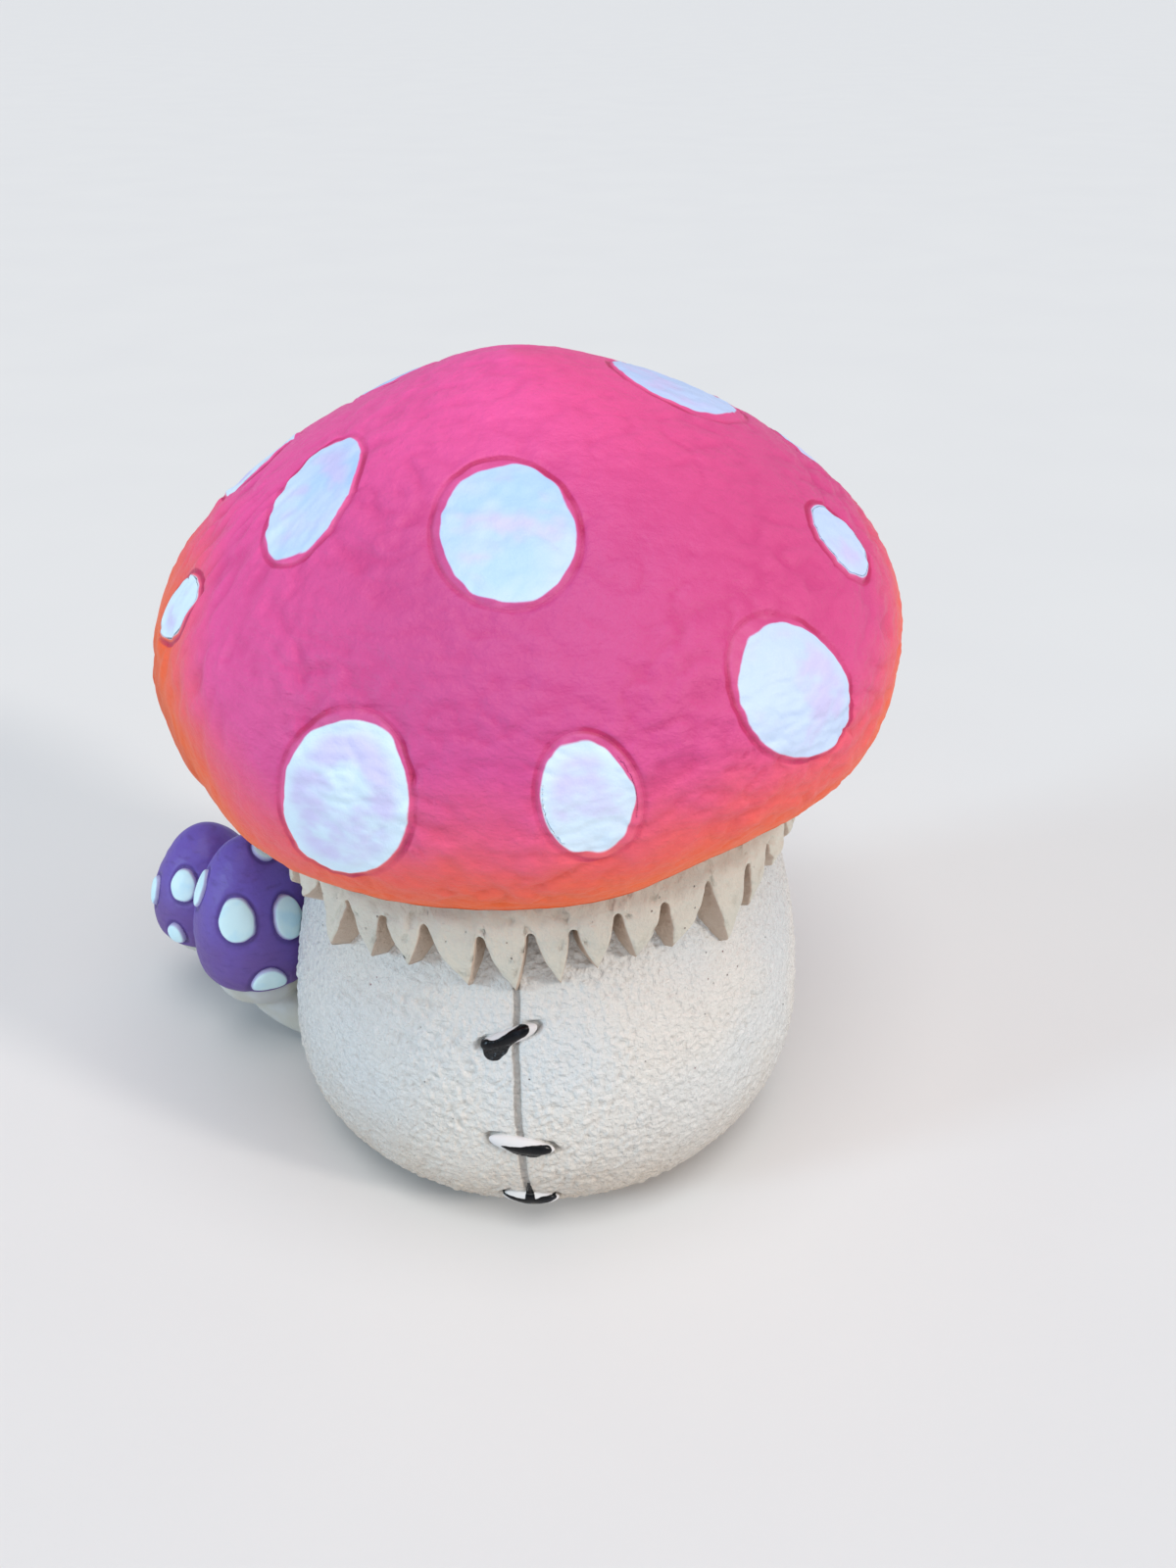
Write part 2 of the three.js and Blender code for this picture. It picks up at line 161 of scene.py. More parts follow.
def cloud(place, size, detail=2.0, rough=0.5):
    """Soft noise from 0 to 1, with lumps of about one size in millimetres."""
    values = {"Vector": place, "Scale": 1 / (size * MM), "Detail": detail, "Roughness": rough}
    return place.node("ShaderNodeTexNoise", {"noise_dimensions": "3D"}, values)


def bumps(height, depth):
    """A bent normal, as if the surface rose by depth millimetres."""
    return height.node("ShaderNodeBump", {}, {"Height": height, "Distance": depth * MM, "Strength": 1.0})


def new_paint(name):
    """A bare material, and the wire that says where on the object a point lies."""
    paint = bpy.data.materials.new(name)
    paint.use_nodes = True
    paint.node_tree.nodes.clear()
    place = paint.node_tree.nodes.new("ShaderNodeTexCoord")
    return paint, Wire(place.outputs["Object"])


def pinholes(place, pitch, low, high):
    """1 at casting holes, which lie about one pitch in millimetres apart, and 0 between them."""
    cells = {"Vector": place, "Scale": 1 / (pitch * MM), "Randomness": 1.0}
    return 1 - ease(place.node("ShaderNodeTexVoronoi", {"feature": "F1"}, cells), low, high)


def brush_on(place, colour, rough, normal, gloss=0.5):
    """Ends a paint in one shader. Its gloss is the same all over."""
    values = {"Base Color": colour, "Roughness": rough, "Normal": normal, "Specular IOR Level": gloss}
    shader = place.node("ShaderNodeBsdfPrincipled", {}, values)
    place.node("ShaderNodeOutputMaterial", {}, {"Surface": shader})


print("white is", [round(v, 3) for v in tone(255, 255, 255)])

# %% [markdown]
# ## Floor and light
#
# A plain pale floor carries the shadow. The light is a soft studio: an even pale world, one wide lamp
# overhead, a narrower warm one from the right and a cool one from the left. Area lamps would fade with
# distance and leave the floor grey at the back, so these are suns with a wide spread. Their level is set so
# that a colour renders about as written.

# %% Floor and light
FLOOR_HALF = 12.0
FLOOR_TONE = tone(229, 228, 226)
FLOOR_SHADE = tone(225, 224, 223)
SKY_TONE = tone(228, 237, 252)
SKY_LEVEL = 0.45

floor_mesh = bpy.data.meshes.new("floor")
corners = [(x * FLOOR_HALF, y * FLOOR_HALF, 0) for x, y in ((-1, -1), (1, -1), (1, 1), (-1, 1))]
floor_mesh.from_pydata(corners, [], [(0, 1, 2, 3)])
floor = bpy.data.objects.new("floor", floor_mesh)
bpy.context.scene.collection.objects.link(floor)
floor_paint, floor_place = new_paint("floor_paper")
paper = mix(cloud(floor_place, 60), FLOOR_TONE, FLOOR_SHADE)
brush_on(floor_place, paper, 0.9, bumps(cloud(floor_place, 2), 0.02))
floor_mesh.materials.append(floor_paint)

world = bpy.data.worlds.new("studio")
bpy.context.scene.world = world
world.use_nodes = True
sky = world.node_tree.nodes["Background"]
sky.inputs["Color"].default_value = SKY_TONE
sky.inputs["Strength"].default_value = SKY_LEVEL


def soft_lamp(name, comes_from, spread, strength, colour):
    """Light from one part of the sky. Its spread in degrees sets how soft the shadows are."""
    lamp = bpy.data.lights.new(name, "SUN")
    lamp.angle = math.radians(spread)
    lamp.energy = strength
    lamp.color = colour[:3]
    made = bpy.data.objects.new(name, lamp)
    made.rotation_euler = Vector(comes_from).to_track_quat("Z", "Y").to_euler()
    bpy.context.scene.collection.objects.link(made)


soft_lamp("overhead", (0.1, -0.35, 1.0), 40, 1.55, tone(255, 253, 250))
soft_lamp("right_side", (1.0, -0.45, 0.45), 8, 1.18, tone(255, 246, 238))
soft_lamp("left_side", (-1.0, -0.5, 0.32), 12, 1.05, tone(200, 234, 255))
print("floor, world and three lamps")

# %% [markdown]
# ## Turned forms
#
# Belly and caps are round, like work from a lathe: an outline of radius and height, turned about an axis.
# Blender's Screw modifier could turn it, but the relief and the spots need every point's way down the
# outline and its turn, so the points are worked out with numpy. Turn 0 is the front, and it grows to
# the right. The main cap and its frill lean a little to one side, together.

# %% Outlines
OUTLINE_STEPS = 500


def bend(points, count):
    """A Bezier curve from the first point to the last, drawn towards those between."""
    t = np.linspace(0, 1, count)[:, None]
    last = len(points) - 1
    pulls = [math.comb(last, k) * (1 - t) ** (last - k) * t**k for k in range(last + 1)]
    return sum(pull * np.array(point, float) for pull, point in zip(pulls, points))


def turned(radius, turn, height):
    """Points at a distance from the axis, at a turn and at a height."""
    return np.stack(np.broadcast_arrays(radius * np.sin(turn), -radius * np.cos(turn), height), -1)


class Outline:
    """A line of radius and height from the top of a form down to its edge."""

    def __init__(self, upper, lower):
        line = np.vstack([bend(upper, OUTLINE_STEPS), bend(lower, OUTLINE_STEPS)[1:]])
        self.down = np.append(0, np.cumsum(np.hypot(*np.diff(line, axis=0).T)))
        self.length = self.down[-1]
        self.radius, self.height = line.T
        along = np.gradient(line, self.down, axis=0)
        along /= np.linalg.norm(along, axis=1)[:, None]
        self.out_side, self.out_up = -along[:, 1], along[:, 0]

    def at(self, down, values):
        """Values of the line, such as its radius, some way down it."""
        return np.interp(down, self.down, values)

    def radius_at(self, height):
        """How wide the form is at a height."""
        return np.interp(height, self.height[::-1], self.radius[::-1])

    def points(self, down, turn, lift=0):
        """Points on the turned form, lifted straight off its surface."""
        radius = self.at(down, self.radius) + lift * self.at(down, self.out_side)
        height = self.at(down, self.height) + lift * self.at(down, self.out_up)
        return turned(radius, turn, height)


stem_line = Outline(
    [(33.0, 55.4), (35.7, 50.3), (41.6, 38.5), (41.8, 19)],
    [(41.8, 19), (41.8, 9.12), (36.84, 2.32), (30, 0.8)],
)
cap_line = Outline(
    [(0, 66), (12.96, 66), (54, 48.14), (54, 26.3)],
    [(54, 26.3), (54, 13.56), (50.96, 11.83), (46, 7)],
)
print("outlines", round(stem_line.length, 1), "and", round(cap_line.length, 1), "mm")

# %% Lean of the head
HEAD_LEAN = 3.5
SEAT_HEIGHT = 58


def swing(degrees, right, up):
    """Turns a place in an upright plane to the left."""
    cos, sin = math.cos(math.radians(degrees)), math.sin(math.radians(degrees))
    return right * cos - up * sin, right * sin + up * cos


def lean(points):
    """Points of the head, measured from its seat, where they stand on the ornament."""
    x, y, z = points.T
    leant_x, leant_z = swing(HEAD_LEAN, x, z)
    return np.column_stack([leant_x, y, leant_z + SEAT_HEIGHT])


print("the cap's top stands at", lean(turned(0, np.zeros(1), cap_line.height[0]))[0].round(1))

# %% [markdown]
# ## Relief
#
# Nothing on the ornament is smooth: it was pressed and stippled by hand. A Displace modifier could add
# this, but the paint has to know where the hollows are, so the relief is worked out as a number for each
# point, from lattice noise, and kept on the mesh as well.


# %% Lattice noise
def lumps(points, size, seed):
    """Smooth noise from about -1 to 1. Its lumps have one size in millimetres."""
    spot = points / size + seed * 7.31
    cell = np.floor(spot).astype(np.int64)
    part = spot - cell
    soft = part**3 * (part * (part * 6 - 15) + 10)
    total = np.zeros(len(points))
    for corner in product((0, 1), repeat=3):
        # Large odd numbers stir a corner's place into 30 mixed bits, which give its slope
        x, y, z = (cell + corner).T
        mixed = (x * 73856093 ^ y * 19349663 ^ z * 83492791 ^ (seed * 2654435761)) & 0xFFFFFFFF
        mixed = ((mixed ^ (mixed >> 15)) * 2246822519) & 0xFFFFFFFF
        mixed = ((mixed ^ (mixed >> 13)) * 3266489917) & 0xFFFFFFFF
        mixed ^= mixed >> 16
        slope = np.column_stack([mixed & 1023, (mixed >> 10) & 1023, (mixed >> 20) & 1023]) / 511.5 - 1
        share = np.prod(np.where(corner, soft, 1 - soft), axis=1)
        total += share * np.sum(slope * (part - corner), axis=1)
    return total * 1.4


def smooth(value, low, high):
    """0 below low, 1 above high, and a soft step between, for arrays."""
    share = np.clip((value - low) / (high - low), 0, 1)
    return share * share * (3 - 2 * share)


print("noise sample", lumps(np.array([[1.0, 2.0, 3.0]]), 5, 1).round(3))

# %% [markdown]
# ## Pieces
#
# Every piece becomes one closed mesh in metres, rides on the ornament's only body, and stands for its CAD
# node. A net of rows that closes on itself sideways makes most of them. The helper below turns the faces
# outward by the sign of the volume that they enclose.


# %% Piece helpers
def net(rows, columns, start=0):
    """Four-sided faces between rows of points that close sideways."""
    row = np.arange(rows - 1)[:, None] * columns + start
    here = np.arange(columns)[None, :]
    after = (here + 1) % columns
    return np.stack([row + here, row + after, row + columns + after, row + columns + here], -1).reshape(-1, 4)


def fan(ring, centre):
    """Three-sided faces that close a ring on one point."""
    return np.column_stack([ring, np.roll(ring, -1), np.full(len(ring), centre)])


def closed_net(points, columns):
    """Faces over rings of points, closed on one point before the first ring and one after the last."""
    last = len(points) - 1
    first_fan = fan(np.arange(1, columns + 1)[::-1], 0)
    last_fan = fan(np.arange(columns) + last - columns, last)
    return net((last - 1) // columns, columns, 1), np.vstack([first_fan, last_fan])


def facing_out(points, quads, tris):
    """The faces of a closed form, turned over if they face inward."""
    halves = np.vstack([quads[:, [0, 1, 2]], quads[:, [0, 2, 3]], tris]) if len(quads) else tris
    a, b, c = (points[halves[:, k]] for k in range(3))
    if np.sum(a * np.cross(b, c)) < 0:
        return quads[:, ::-1], tris[:, ::-1]
    return quads, tris


def make_piece(name, points, quads, tris, paint, node, slot, **values):
    """A painted mesh in place of a CAD node. Its values are kept at the points for the paint."""
    quads, tris = facing_out(points, quads, tris)
    mesh = bpy.data.meshes.new(name)
    mesh.from_pydata((points * MM).tolist(), [], quads.tolist() + tris.tolist())
    mesh.shade_smooth()
    for key, value in values.items():
        mesh.attributes.new(key, "FLOAT", "POINT").data.foreach_set("value", np.asarray(value, np.float32))
    mesh.materials.append(paint)
    piece = bpy.data.objects.new(name, mesh)
    bpy.context.scene.collection.objects.link(piece)
    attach(piece, "root")
    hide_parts(node)
    return piece


print("a net of 3 rows and 4 columns has", len(net(3, 4)), "faces")

# %% [markdown]
# ## Stitches: where the thread lies
#
# Three clay stitches cross the seam on the front. Each is a fat spindle pressed into the belly, and the
# painter covered only its lower side with gloss black, in one loaded stroke that runs over onto the belly.
# A stroke is a chain of round dabs here, and a point's depth inside the chain says if it is black. The
# belly needs this too, so the strokes come first.

# %% Strokes
FRONT_RADIUS = 40.5
FAR_OUTSIDE = -9.0

# Millimetres, a slant in degrees, and how blunt the ends are
Stitch = namedtuple("Stitch", "across down length width height slant blunt")
STITCHES = {
    "stitch_top": Stitch(-1.25, 18.3, 8.9, 2.25, 1.0, 24, 3.2),
    "stitch_middle": Stitch(0.4, 36.4, 9.4, 2.7, 1.05, -11, 2.1),
    "stitch_bottom": Stitch(1.35, 49.6, 8.8, 3.2, 1.1, -7, 2.1),
}

# Each stroke: dabs as (across, down, radius)
STROKES = {
    "stitch_top": [(-4.5, 20.0, 1.0), (-3.5, 20.7, 1.5), (-2.5, 20.1, 1.2), (-1.7, 19.2, 0.86),
                   (-0.6, 18.3, 0.88), (0.8, 17.25, 0.98)],
    "stitch_middle": [(-2.3, 36.95, 0.12), (-0.9, 37.45, 0.5), (0.6, 37.75, 0.85), (2.1, 37.65, 1.1),
                      (3.7, 37.3, 0.95)],
    "bottom_left": [(-2.9, 48.8, 0.25), (-1.2, 50.0, 0.6), (1.2, 51.1, 0.85)],
    "bottom_right": [(1.3, 51.2, 0.8), (2.6, 50.8, 1.0), (3.6, 50.2, 1.15), (4.5, 49.7, 0.8)],
    "seam_tail": [(1.15, 45.3, 0.25), (1.25, 48.0, 0.6), (1.3, 50.6, 0.85)],
}


def inside_stroke(across, down, dabs):
    """How many millimetres a point lies inside a chain of dabs. Outside is negative."""
    best = np.full(across.shape, FAR_OUTSIDE)
    for (x0, y0, r0), (x1, y1, r1) in zip(dabs, dabs[1:]):
        dx, dy = x1 - x0, y1 - y0
        share = np.clip(((across - x0) * dx + (down - y0) * dy) / (dx * dx + dy * dy), 0, 1)
        away = np.hypot(across - x0 - share * dx, down - y0 - share * dy)
        best = np.maximum(best, r0 + share * (r1 - r0) - away)
    return best


def inked(across, down):
    """How deep a point lies inside any stroke."""
    return np.max([inside_stroke(across, down, dabs) for dabs in STROKES.values()], axis=0)


print(len(STROKES), "strokes over", len(STITCHES), "stitches")

# %% [markdown]
# ## Belly
#
# The belly was stippled while soft, which left low lumps about a millimetre wide, with a glint on each one.
# A bump in the paint alone would leave the outline smooth, so they are in the mesh. The net has narrow
# columns at the front, where the seam's flat groove and the hollows round the stitches need them, and wide
# ones behind.

# %% Belly net
ROW_STEP = 0.24
FINE_STEP = 0.17
WIDE_STEP = 0.3


def spread(turns, steps):
    """Every turn at every step, as two long arrays."""
    return (grid.ravel() for grid in np.meshgrid(turns, steps))


def belly_turns():
    """Turns round the belly, close together near the seam."""
    arc = [0.0]
    while arc[-1] < math.pi * FRONT_RADIUS:
        arc.append(arc[-1] + np.interp(arc[-1], [7, 18], [FINE_STEP, WIDE_STEP]))
    half = np.array(arc) * math.pi / arc[-1]
    return np.concatenate([-half[:0:-1], half[:-1]])


def seam_middle(down):
    """The seam drifts to the right on its way down."""
    return -0.22 + 0.0015 * np.maximum(0, down - 18) ** 2 + 0.07 * np.sin(down * 0.55)


turns = belly_turns()
downs = np.linspace(0, stem_line.length, round(stem_line.length / ROW_STEP))
turn, down = spread(turns, downs)
plain = stem_line.points(down, turn)
across = turn * FRONT_RADIUS
print("belly", len(downs), "rows,", len(turns), "columns")

# %% Stitch beds
BED_DEPTH = 0.8
BED_MARGIN = 0.2
BED_HALF = 0.22


def stitch_half_width(stitch, along):
    """A stitch is widest in the middle and ends in two blunt tips."""
    share = np.clip(np.abs(along) / (stitch.length / 2), 0, 1)
    return stitch.width / 2 * np.sqrt(np.clip(1 - share**stitch.blunt, 0, 1))


def stitch_beds(across, down):
    """The belly sinks round each stitch, most at the two ends."""
    bed = np.zeros(across.shape)
    for stitch in STITCHES.values():
        along, beside = swing(-stitch.slant, across - stitch.across, stitch.down - down)
        grown = np.hypot(along / (stitch.length / 2 + BED_MARGIN), beside / (stitch.width / 2 + BED_MARGIN))
        at_end = 0.2 + 0.8 * smooth(np.abs(along), stitch.length * 0.22, stitch.length * 0.46)
        ring = (grown - 1) * stitch.width / 2
        bed -= BED_DEPTH * at_end * np.exp(-((ring / BED_HALF) ** 2))
    return bed


beds = stitch_beds(across, down)
print("deepest bed", round(float(beds.min()), 2), "mm")

# %% Belly relief
SEAM_HALF = 0.52
SEAM_LIP = 0.14
SEAM_SLOPE = 0.22
SEAM_SINK = 0.34
INK_THICK = 0.16

# Wrinkles run across the upper left, and the stipple is calmer in some places than in others
wrinkled = smooth(-across, 4, 22) * smooth(34 - down, 0, 12)
calm = 0.46 + 0.36 * smooth(lumps(plain, 11, 3) + 0.5 * smooth(down, 10, 30) - 0.25, -0.5, 0.4)
peel = 0.36 * lumps(plain, 1.0, 4) + 0.46 * np.abs(lumps(plain, 1.55, 5)) - 0.1
waves = 0.4 * lumps(plain * [0.55, 0.55, 1.5] + plain[:, [2, 2, 0]] * [0.4, 0, 0], 2.4, 6)
stipple = calm * (peel * (1 - 0.45 * wrinkled) + waves * wrinkled)
from_seam = across - seam_middle(down)
seam_cut = smooth(SEAM_HALF + SEAM_LIP - np.abs(from_seam), 0, SEAM_SLOPE)
near_front = smooth(np.abs(from_seam), 0.6, 2.6)
skin = 0.22 * lumps(plain, 26, 2) + stipple
ink_depth = inked(across, down)
painted = smooth(ink_depth, -0.1, 0.25)
relief = (skin * (0.3 + 0.7 * near_front) - SEAM_SINK * seam_cut + beds) * (1 - painted) + INK_THICK * painted
relief *= smooth(stem_line.length - down, 0, 3)
# Thumbs pressed it off round: the left side is flatter above and fuller below
pressed_by = np.interp(plain[:, 2], [3, 10, 20, 35], [-0.65, -0.55, 0.15, 0.6])
sway = np.sin(turn) * pressed_by - 0.4 * np.sin(turn) ** 2
print("belly relief from", relief.min().round(2), "to", relief.max().round(2), "mm")

# %% [markdown]
# The belly's paint is warm white over resin. Its hollows are painted a little darker brown, which is painted
# shade, and the grooves round the stitches darker still, also painted shade. Tiny pinholes from casting stay
# dark or reddish, and the seam was filled with flat grey. Gloss is uneven, so roughness follows its own
# noise. A painted image could hold all this, but sums of noise stay sharp from close by, and the values kept
# on the mesh put each tone where it belongs.

# %% Belly paint
IVORY = tone(229, 226, 219)
IVORY_COOL = tone(221, 224, 223)
# The brown of the painted shade in the stipple's hollows
HOLLOW_SHADE = tone(178, 166, 152)
SEAM_GREY = tone(160, 154, 148)
BLACK = tone(7, 8, 12)
# The grey brown of the painted shade in the grooves round the stitches
CREASE_SHADE = tone(118, 110, 102)
PINHOLE = tone(74, 58, 56)
PINHOLE_RED = tone(158, 64, 84)
SEAM_PALE = tone(176, 170, 162)
BASE_TAN = tone(196, 176, 152)

stem_paint, place = new_paint("stippled_ivory")
height_of = place.node("ShaderNodeSeparateXYZ", {}, {0: place}, "Z")
ivory = mix(ease(cloud(place, 22, 1), 0.35, 0.7), IVORY, IVORY_COOL)
# Painted shade: the stipple's hollows are painted a little darker brown
hollow_shaded = mix(ease(kept(place, "hollow"), 0.2, 1.0) * 0.22, ivory, HOLLOW_SHADE)
based = mix((1 - ease(height_of, 0.0, 0.03)) * (0.2 + cloud(place, 7, 3) * 0.9), hollow_shaded, BASE_TAN)
hole = pinholes(place, 2.3, 0.035, 0.075)
holes = hole * ease(height_of, 0.014, 0.03) * ease(cloud(place, 8, 1), 0.42, 0.55)
hole_tone = mix(ease(cloud(place, 5, 0), 0.5, 0.52), PINHOLE, PINHOLE_RED)
pricked = mix(holes * 0.85, based, hole_tone)
seam_edge = cloud(place, 1.2, 2) * 0.3 - 0.15
in_seam = 1 - ease(kept(place, "seam") + seam_edge, SEAM_HALF - 0.06, SEAM_HALF + 0.06)
seamed = mix(in_seam * 0.9, pricked, mix(cloud(place, 3, 3), SEAM_GREY, SEAM_PALE))
ink = ease(kept(place, "ink") + seam_edge * 0.6, -0.05, 0.05)
# Painted shade: the grooves round the stitches are painted darker
pressed = mix(ease(kept(place, "crease"), 0.3, 1.0) * 0.6, seamed, CREASE_SHADE)
stem_colour = mix(ink, pressed, BLACK)
stem_rough = 0.17 + cloud(place, 4, 3) * 0.2 - ink * 0.05
stem_normal = bumps(cloud(place, 0.9, 3, 0.55) - holes * 0.4, 0.75)
brush_on(place, stem_colour, stem_rough, stem_normal)
print("paint", stem_paint.name, len(stem_paint.node_tree.nodes), "nodes")

# %% Belly piece
NECK_RADIUS = 32.8
NECK_TOP = 65.6
NECK_LOW = 56.6
BASE_FLAT = 29.2
HOLLOW_DEPTH = 0.2
FAR_FROM_SEAM = 9

columns = len(turns)
neck = [turned(0, 0, [NECK_TOP]), turned(NECK_RADIUS, turns, NECK_TOP), turned(NECK_RADIUS, turns, NECK_LOW)]
foot = [turned(BASE_FLAT, turns, 0), turned(0, 0, [0])]
points = np.vstack([*neck, stem_line.points(down, turn, relief + sway), *foot])


def padded_out(values, fill):
    """Values of the skin, with one fill for the neck and foot."""
    return np.pad(values, (2 * columns + 1, columns + 1), constant_values=fill)


# Painted shade: the deeper a point lies in the stipple, the darker it is painted
hollow = np.clip(-stipple / HOLLOW_DEPTH, 0, 1) * (1 - seam_cut)
crease = np.clip(-beds / BED_DEPTH, 0, 1)
seam = padded_out(np.abs(from_seam), FAR_FROM_SEAM)
make_piece("stippled_stem", points, *closed_net(points, columns), stem_paint, "stem", "stem_paint",
           hollow=padded_out(hollow, 0), seam=seam, crease=padded_out(crease, 0),
           ink=padded_out(ink_depth, FAR_OUTSIDE))
print("stem", len(points), "points")

# %% [markdown]
# ## Stitch pieces
#
# Each stitch is a fat roll of clay, black on its lower side. It could be a stretched ball, but the real ones
# are flat underneath and follow the belly. So a spindle is laid out along and beside its middle line, and
# each point is then carried onto the belly.

# %% Thread paint
CLAY = tone(224, 222, 223)
CLAY_WARM = tone(224, 222, 220)
INK_GLEAM = tone(24, 27, 34)
THREAD_GLOSS = 0.25

thread_paint, place = new_paint("gloss_black_on_clay")
ink = ease(kept(place, "ink") + cloud(place, 0.9, 2) * 0.24 - 0.12, -0.05, 0.05)
clay = mix(ease(cloud(place, 3, 2), 0.3, 0.7), CLAY, CLAY_WARM)
black = mix(ease(cloud(place, 1.5, 2), 0.5, 0.8), BLACK, INK_GLEAM)
thread_rough = 0.5 - ink * 0.28 + cloud(place, 1.6, 2) * 0.1
thread_normal = bumps(cloud(place, 1.1, 3) + ink * 0.8, 0.11)
brush_on(place, mix(ink, clay, black), thread_rough, thread_normal, THREAD_GLOSS)
print("paint", thread_paint.name)

# %% Stitches
STITCH_STEPS = 56
STITCH_SIDES = 48
BURIED = 0.9
# How far up a raised stitch the black climbs, for each millimetre that it is raised
INK_DRAPE = {"stitch_top": 0.6, "stitch_middle": 1.0, "stitch_bottom": 1.6}

around = np.linspace(0, 2 * math.pi, STITCH_SIDES, endpoint=False)
share = np.sin(np.linspace(-math.pi / 2, math.pi / 2, STITCH_STEPS)[1:-1])
side, step = spread(around, share)
side = np.concatenate([[0], side, [0]])
step = np.concatenate([[-1], step, [1]])
on_top = np.sin(side) > 0
for name, stitch in STITCHES.items():
    along = step * stitch.length / 2
    half = stitch_half_width(stitch, along)
    fat = np.where(on_top, stitch.height, BURIED) * half / (stitch.width / 2)
    right, up = swing(stitch.slant, along, half * np.cos(side))
    on_across, on_down = stitch.across + right, stitch.down - up
    flat_place = stem_line.points(on_down, on_across / FRONT_RADIUS)
    rough_lift = fat * np.sin(side) + 0.08 * lumps(flat_place, 2.2, 8) * (half > 0.2)
    thread_ink = inked(on_across, on_down + INK_DRAPE[name] * np.maximum(0, rough_lift))
    lift = rough_lift + 0.1 * smooth(thread_ink, -0.1, 0.3) * on_top
    points = stem_line.points(on_down, on_across / FRONT_RADIUS, lift)
    make_piece("clay_" + name, points, *closed_net(points, STITCH_SIDES), thread_paint, name, "thread_paint",
               ink=thread_ink)
    print(name, len(points), "points")

# %% [markdown]
# ## Frill
#
# Under the cap hangs a thick frill, cut into pointed leaves with narrow arched notches between them. The
# faces are beige and pitted, and the cut walls show a browner tan. It could be cut from a ring with booleans,
# which leave long thin faces. Here each column of a net ends where its leaf ends, and the columns crowd
# together at the notches. Near the cut the face rounds over, by its distance from the edge.

# %% Leaf edges
FRILL_TOP = 8.2
FACE_RADIUS = 40.0
NOTCH_HALF = math.degrees(0.62 / FACE_RADIUS)
NOTCH_ROUND = 0.9
ARCH_STEPS = 5
FLANK_STEPS = 11
CUT_SLANT = 0.3
LEFT_SLANT = 0.5
RIGHT_SLANT = 0.9

# Each leaf in front: turn and height of the notch to its left, turn and height of its tip, and how thin the
# tip is
FRONT_LEAVES = [
    (-69.0, -1.4, -62.2, -6.8, 0), (-58.4, -1.5, -55.4, -6.8, 0), (-46.6, -1.0, -44.2, -11.2, 0),
    (-36.4, -1.4, -31.6, -9.6, 0.1), (-27.1, -1.7, -22.4, -9.3, 0.2), (-17.3, -1.5, -9.8, -11.4, 0.4),
    (-5.8, -2.4, -0.1, -12.2, 0.5), (4.1, -1.9, 9.2, -11.4, 0.5), (12.4, -2.0, 17.0, -9.9, 0.5),
    (21.4, -0.8, 25.2, -9.4, 0.5), (31.3, -1.1, 33.7, -9.8, 0.5), (42.0, -0.8, 48.4, -13.2, 0.4),
    (53.6, -1.6, 55.8, -9.8, 0.4),
]
NEXT_NOTCH = 61.8
MORE_LEAVES = 24


def other_leaves():
    """The rest of the ring, cut by hand at about the same pitch."""
    pitch = (360 + FRONT_LEAVES[0][0] - NEXT_NOTCH) / MORE_LEAVES
    for i in range(MORE_LEAVES):
        notch = NEXT_NOTCH + pitch * (i + 0.12 * math.sin(2.1 * i))
        tip = NEXT_NOTCH + pitch * (i + 0.52 + 0.16 * math.sin(1.7 * i + 0.6))
        low = -8.5 + 0.9 * math.cos(0.9 * i) + 0.6 * math.sin(2.3 * i)
        yield notch, -1.5 + 0.45 * math.sin(2.6 * i), tip, low, 0.4 + 0.3 * math.sin(1.3 * i)


def flank(notch, head, tip, low):
    """Turn, height and bevel from the round head of a notch, along one side of a leaf, to its tip."""
    side = math.copysign(1, tip - notch)
    quarter = np.linspace(0, math.pi / 2, ARCH_STEPS)
    arch_turn = notch + side * NOTCH_HALF * np.sin(quarter)
    arch_low = head - NOTCH_ROUND * (1 - np.cos(quarter))
    share = np.linspace(0, 1, FLANK_STEPS)[1:]
    run_turn = arch_turn[-1] + (tip - arch_turn[-1]) * share**1.3
    run_low = arch_low[-1] + (low - arch_low[-1]) * share
    # The knife came from the front, so a wall that faces forward slants more
    more = LEFT_SLANT if notch < 0 else RIGHT_SLANT
    slant = CUT_SLANT + more * smooth(side * math.sin(math.radians(notch)), 0, 0.25)
    bevel = np.append(np.zeros(ARCH_STEPS), -side * slant * np.sin(math.pi * share**0.8))
    return np.column_stack([np.append(arch_turn, run_turn), np.append(arch_low, run_low), bevel])


leaves = FRONT_LEAVES + list(other_leaves())
heads = [leaf[:2] for leaf in leaves] + [(leaves[0][0] + 360, leaves[0][1])]
edge = []
for (notch, head, tip, low, _), after in zip(leaves, heads[1:]):
    edge += [flank(notch, head, tip, low), flank(*after, tip, low)[-2:0:-1]]
edge = np.vstack(edge)
edge_turn, edge_low, edge_bevel = np.radians(edge[:, 0]), edge[:, 1], edge[:, 2]
leaf_columns = len(edge) // len(leaves)
leaf_low, leaf_thin = (np.repeat([leaf[k] for leaf in leaves], leaf_columns) for k in (3, 4))
print("frill", len(leaves), "leaves,", len(edge), "columns")

# %% Frill face
FACE_ROWS = 56
TOP_RADIUS = 38.0
PITTED_RADIUS = 39.0
ROUND_OVER = 0.6
ROUND_DEPTH = 0.5
LEAF_ROOT = -2.5
TIP_TAPER = 3.0
FAR_FROM_EDGE = 9.0


def face_radius(height):
    """The frill flares downward."""
    return np.interp(height, [-11.5, -1.6, FRILL_TOP], [40.6, FACE_RADIUS, TOP_RADIUS])


share = np.linspace(0, 1, FACE_ROWS) ** 0.8
face_turn = np.tile(edge_turn, FACE_ROWS)
face_height = (FRILL_TOP + share[:, None] * (edge_low - FRILL_TOP)[None, :]).ravel()
face_flat = np.column_stack([face_turn * FACE_RADIUS, face_height])
edge_line = np.column_stack([edge_turn * FACE_RADIUS, edge_low])
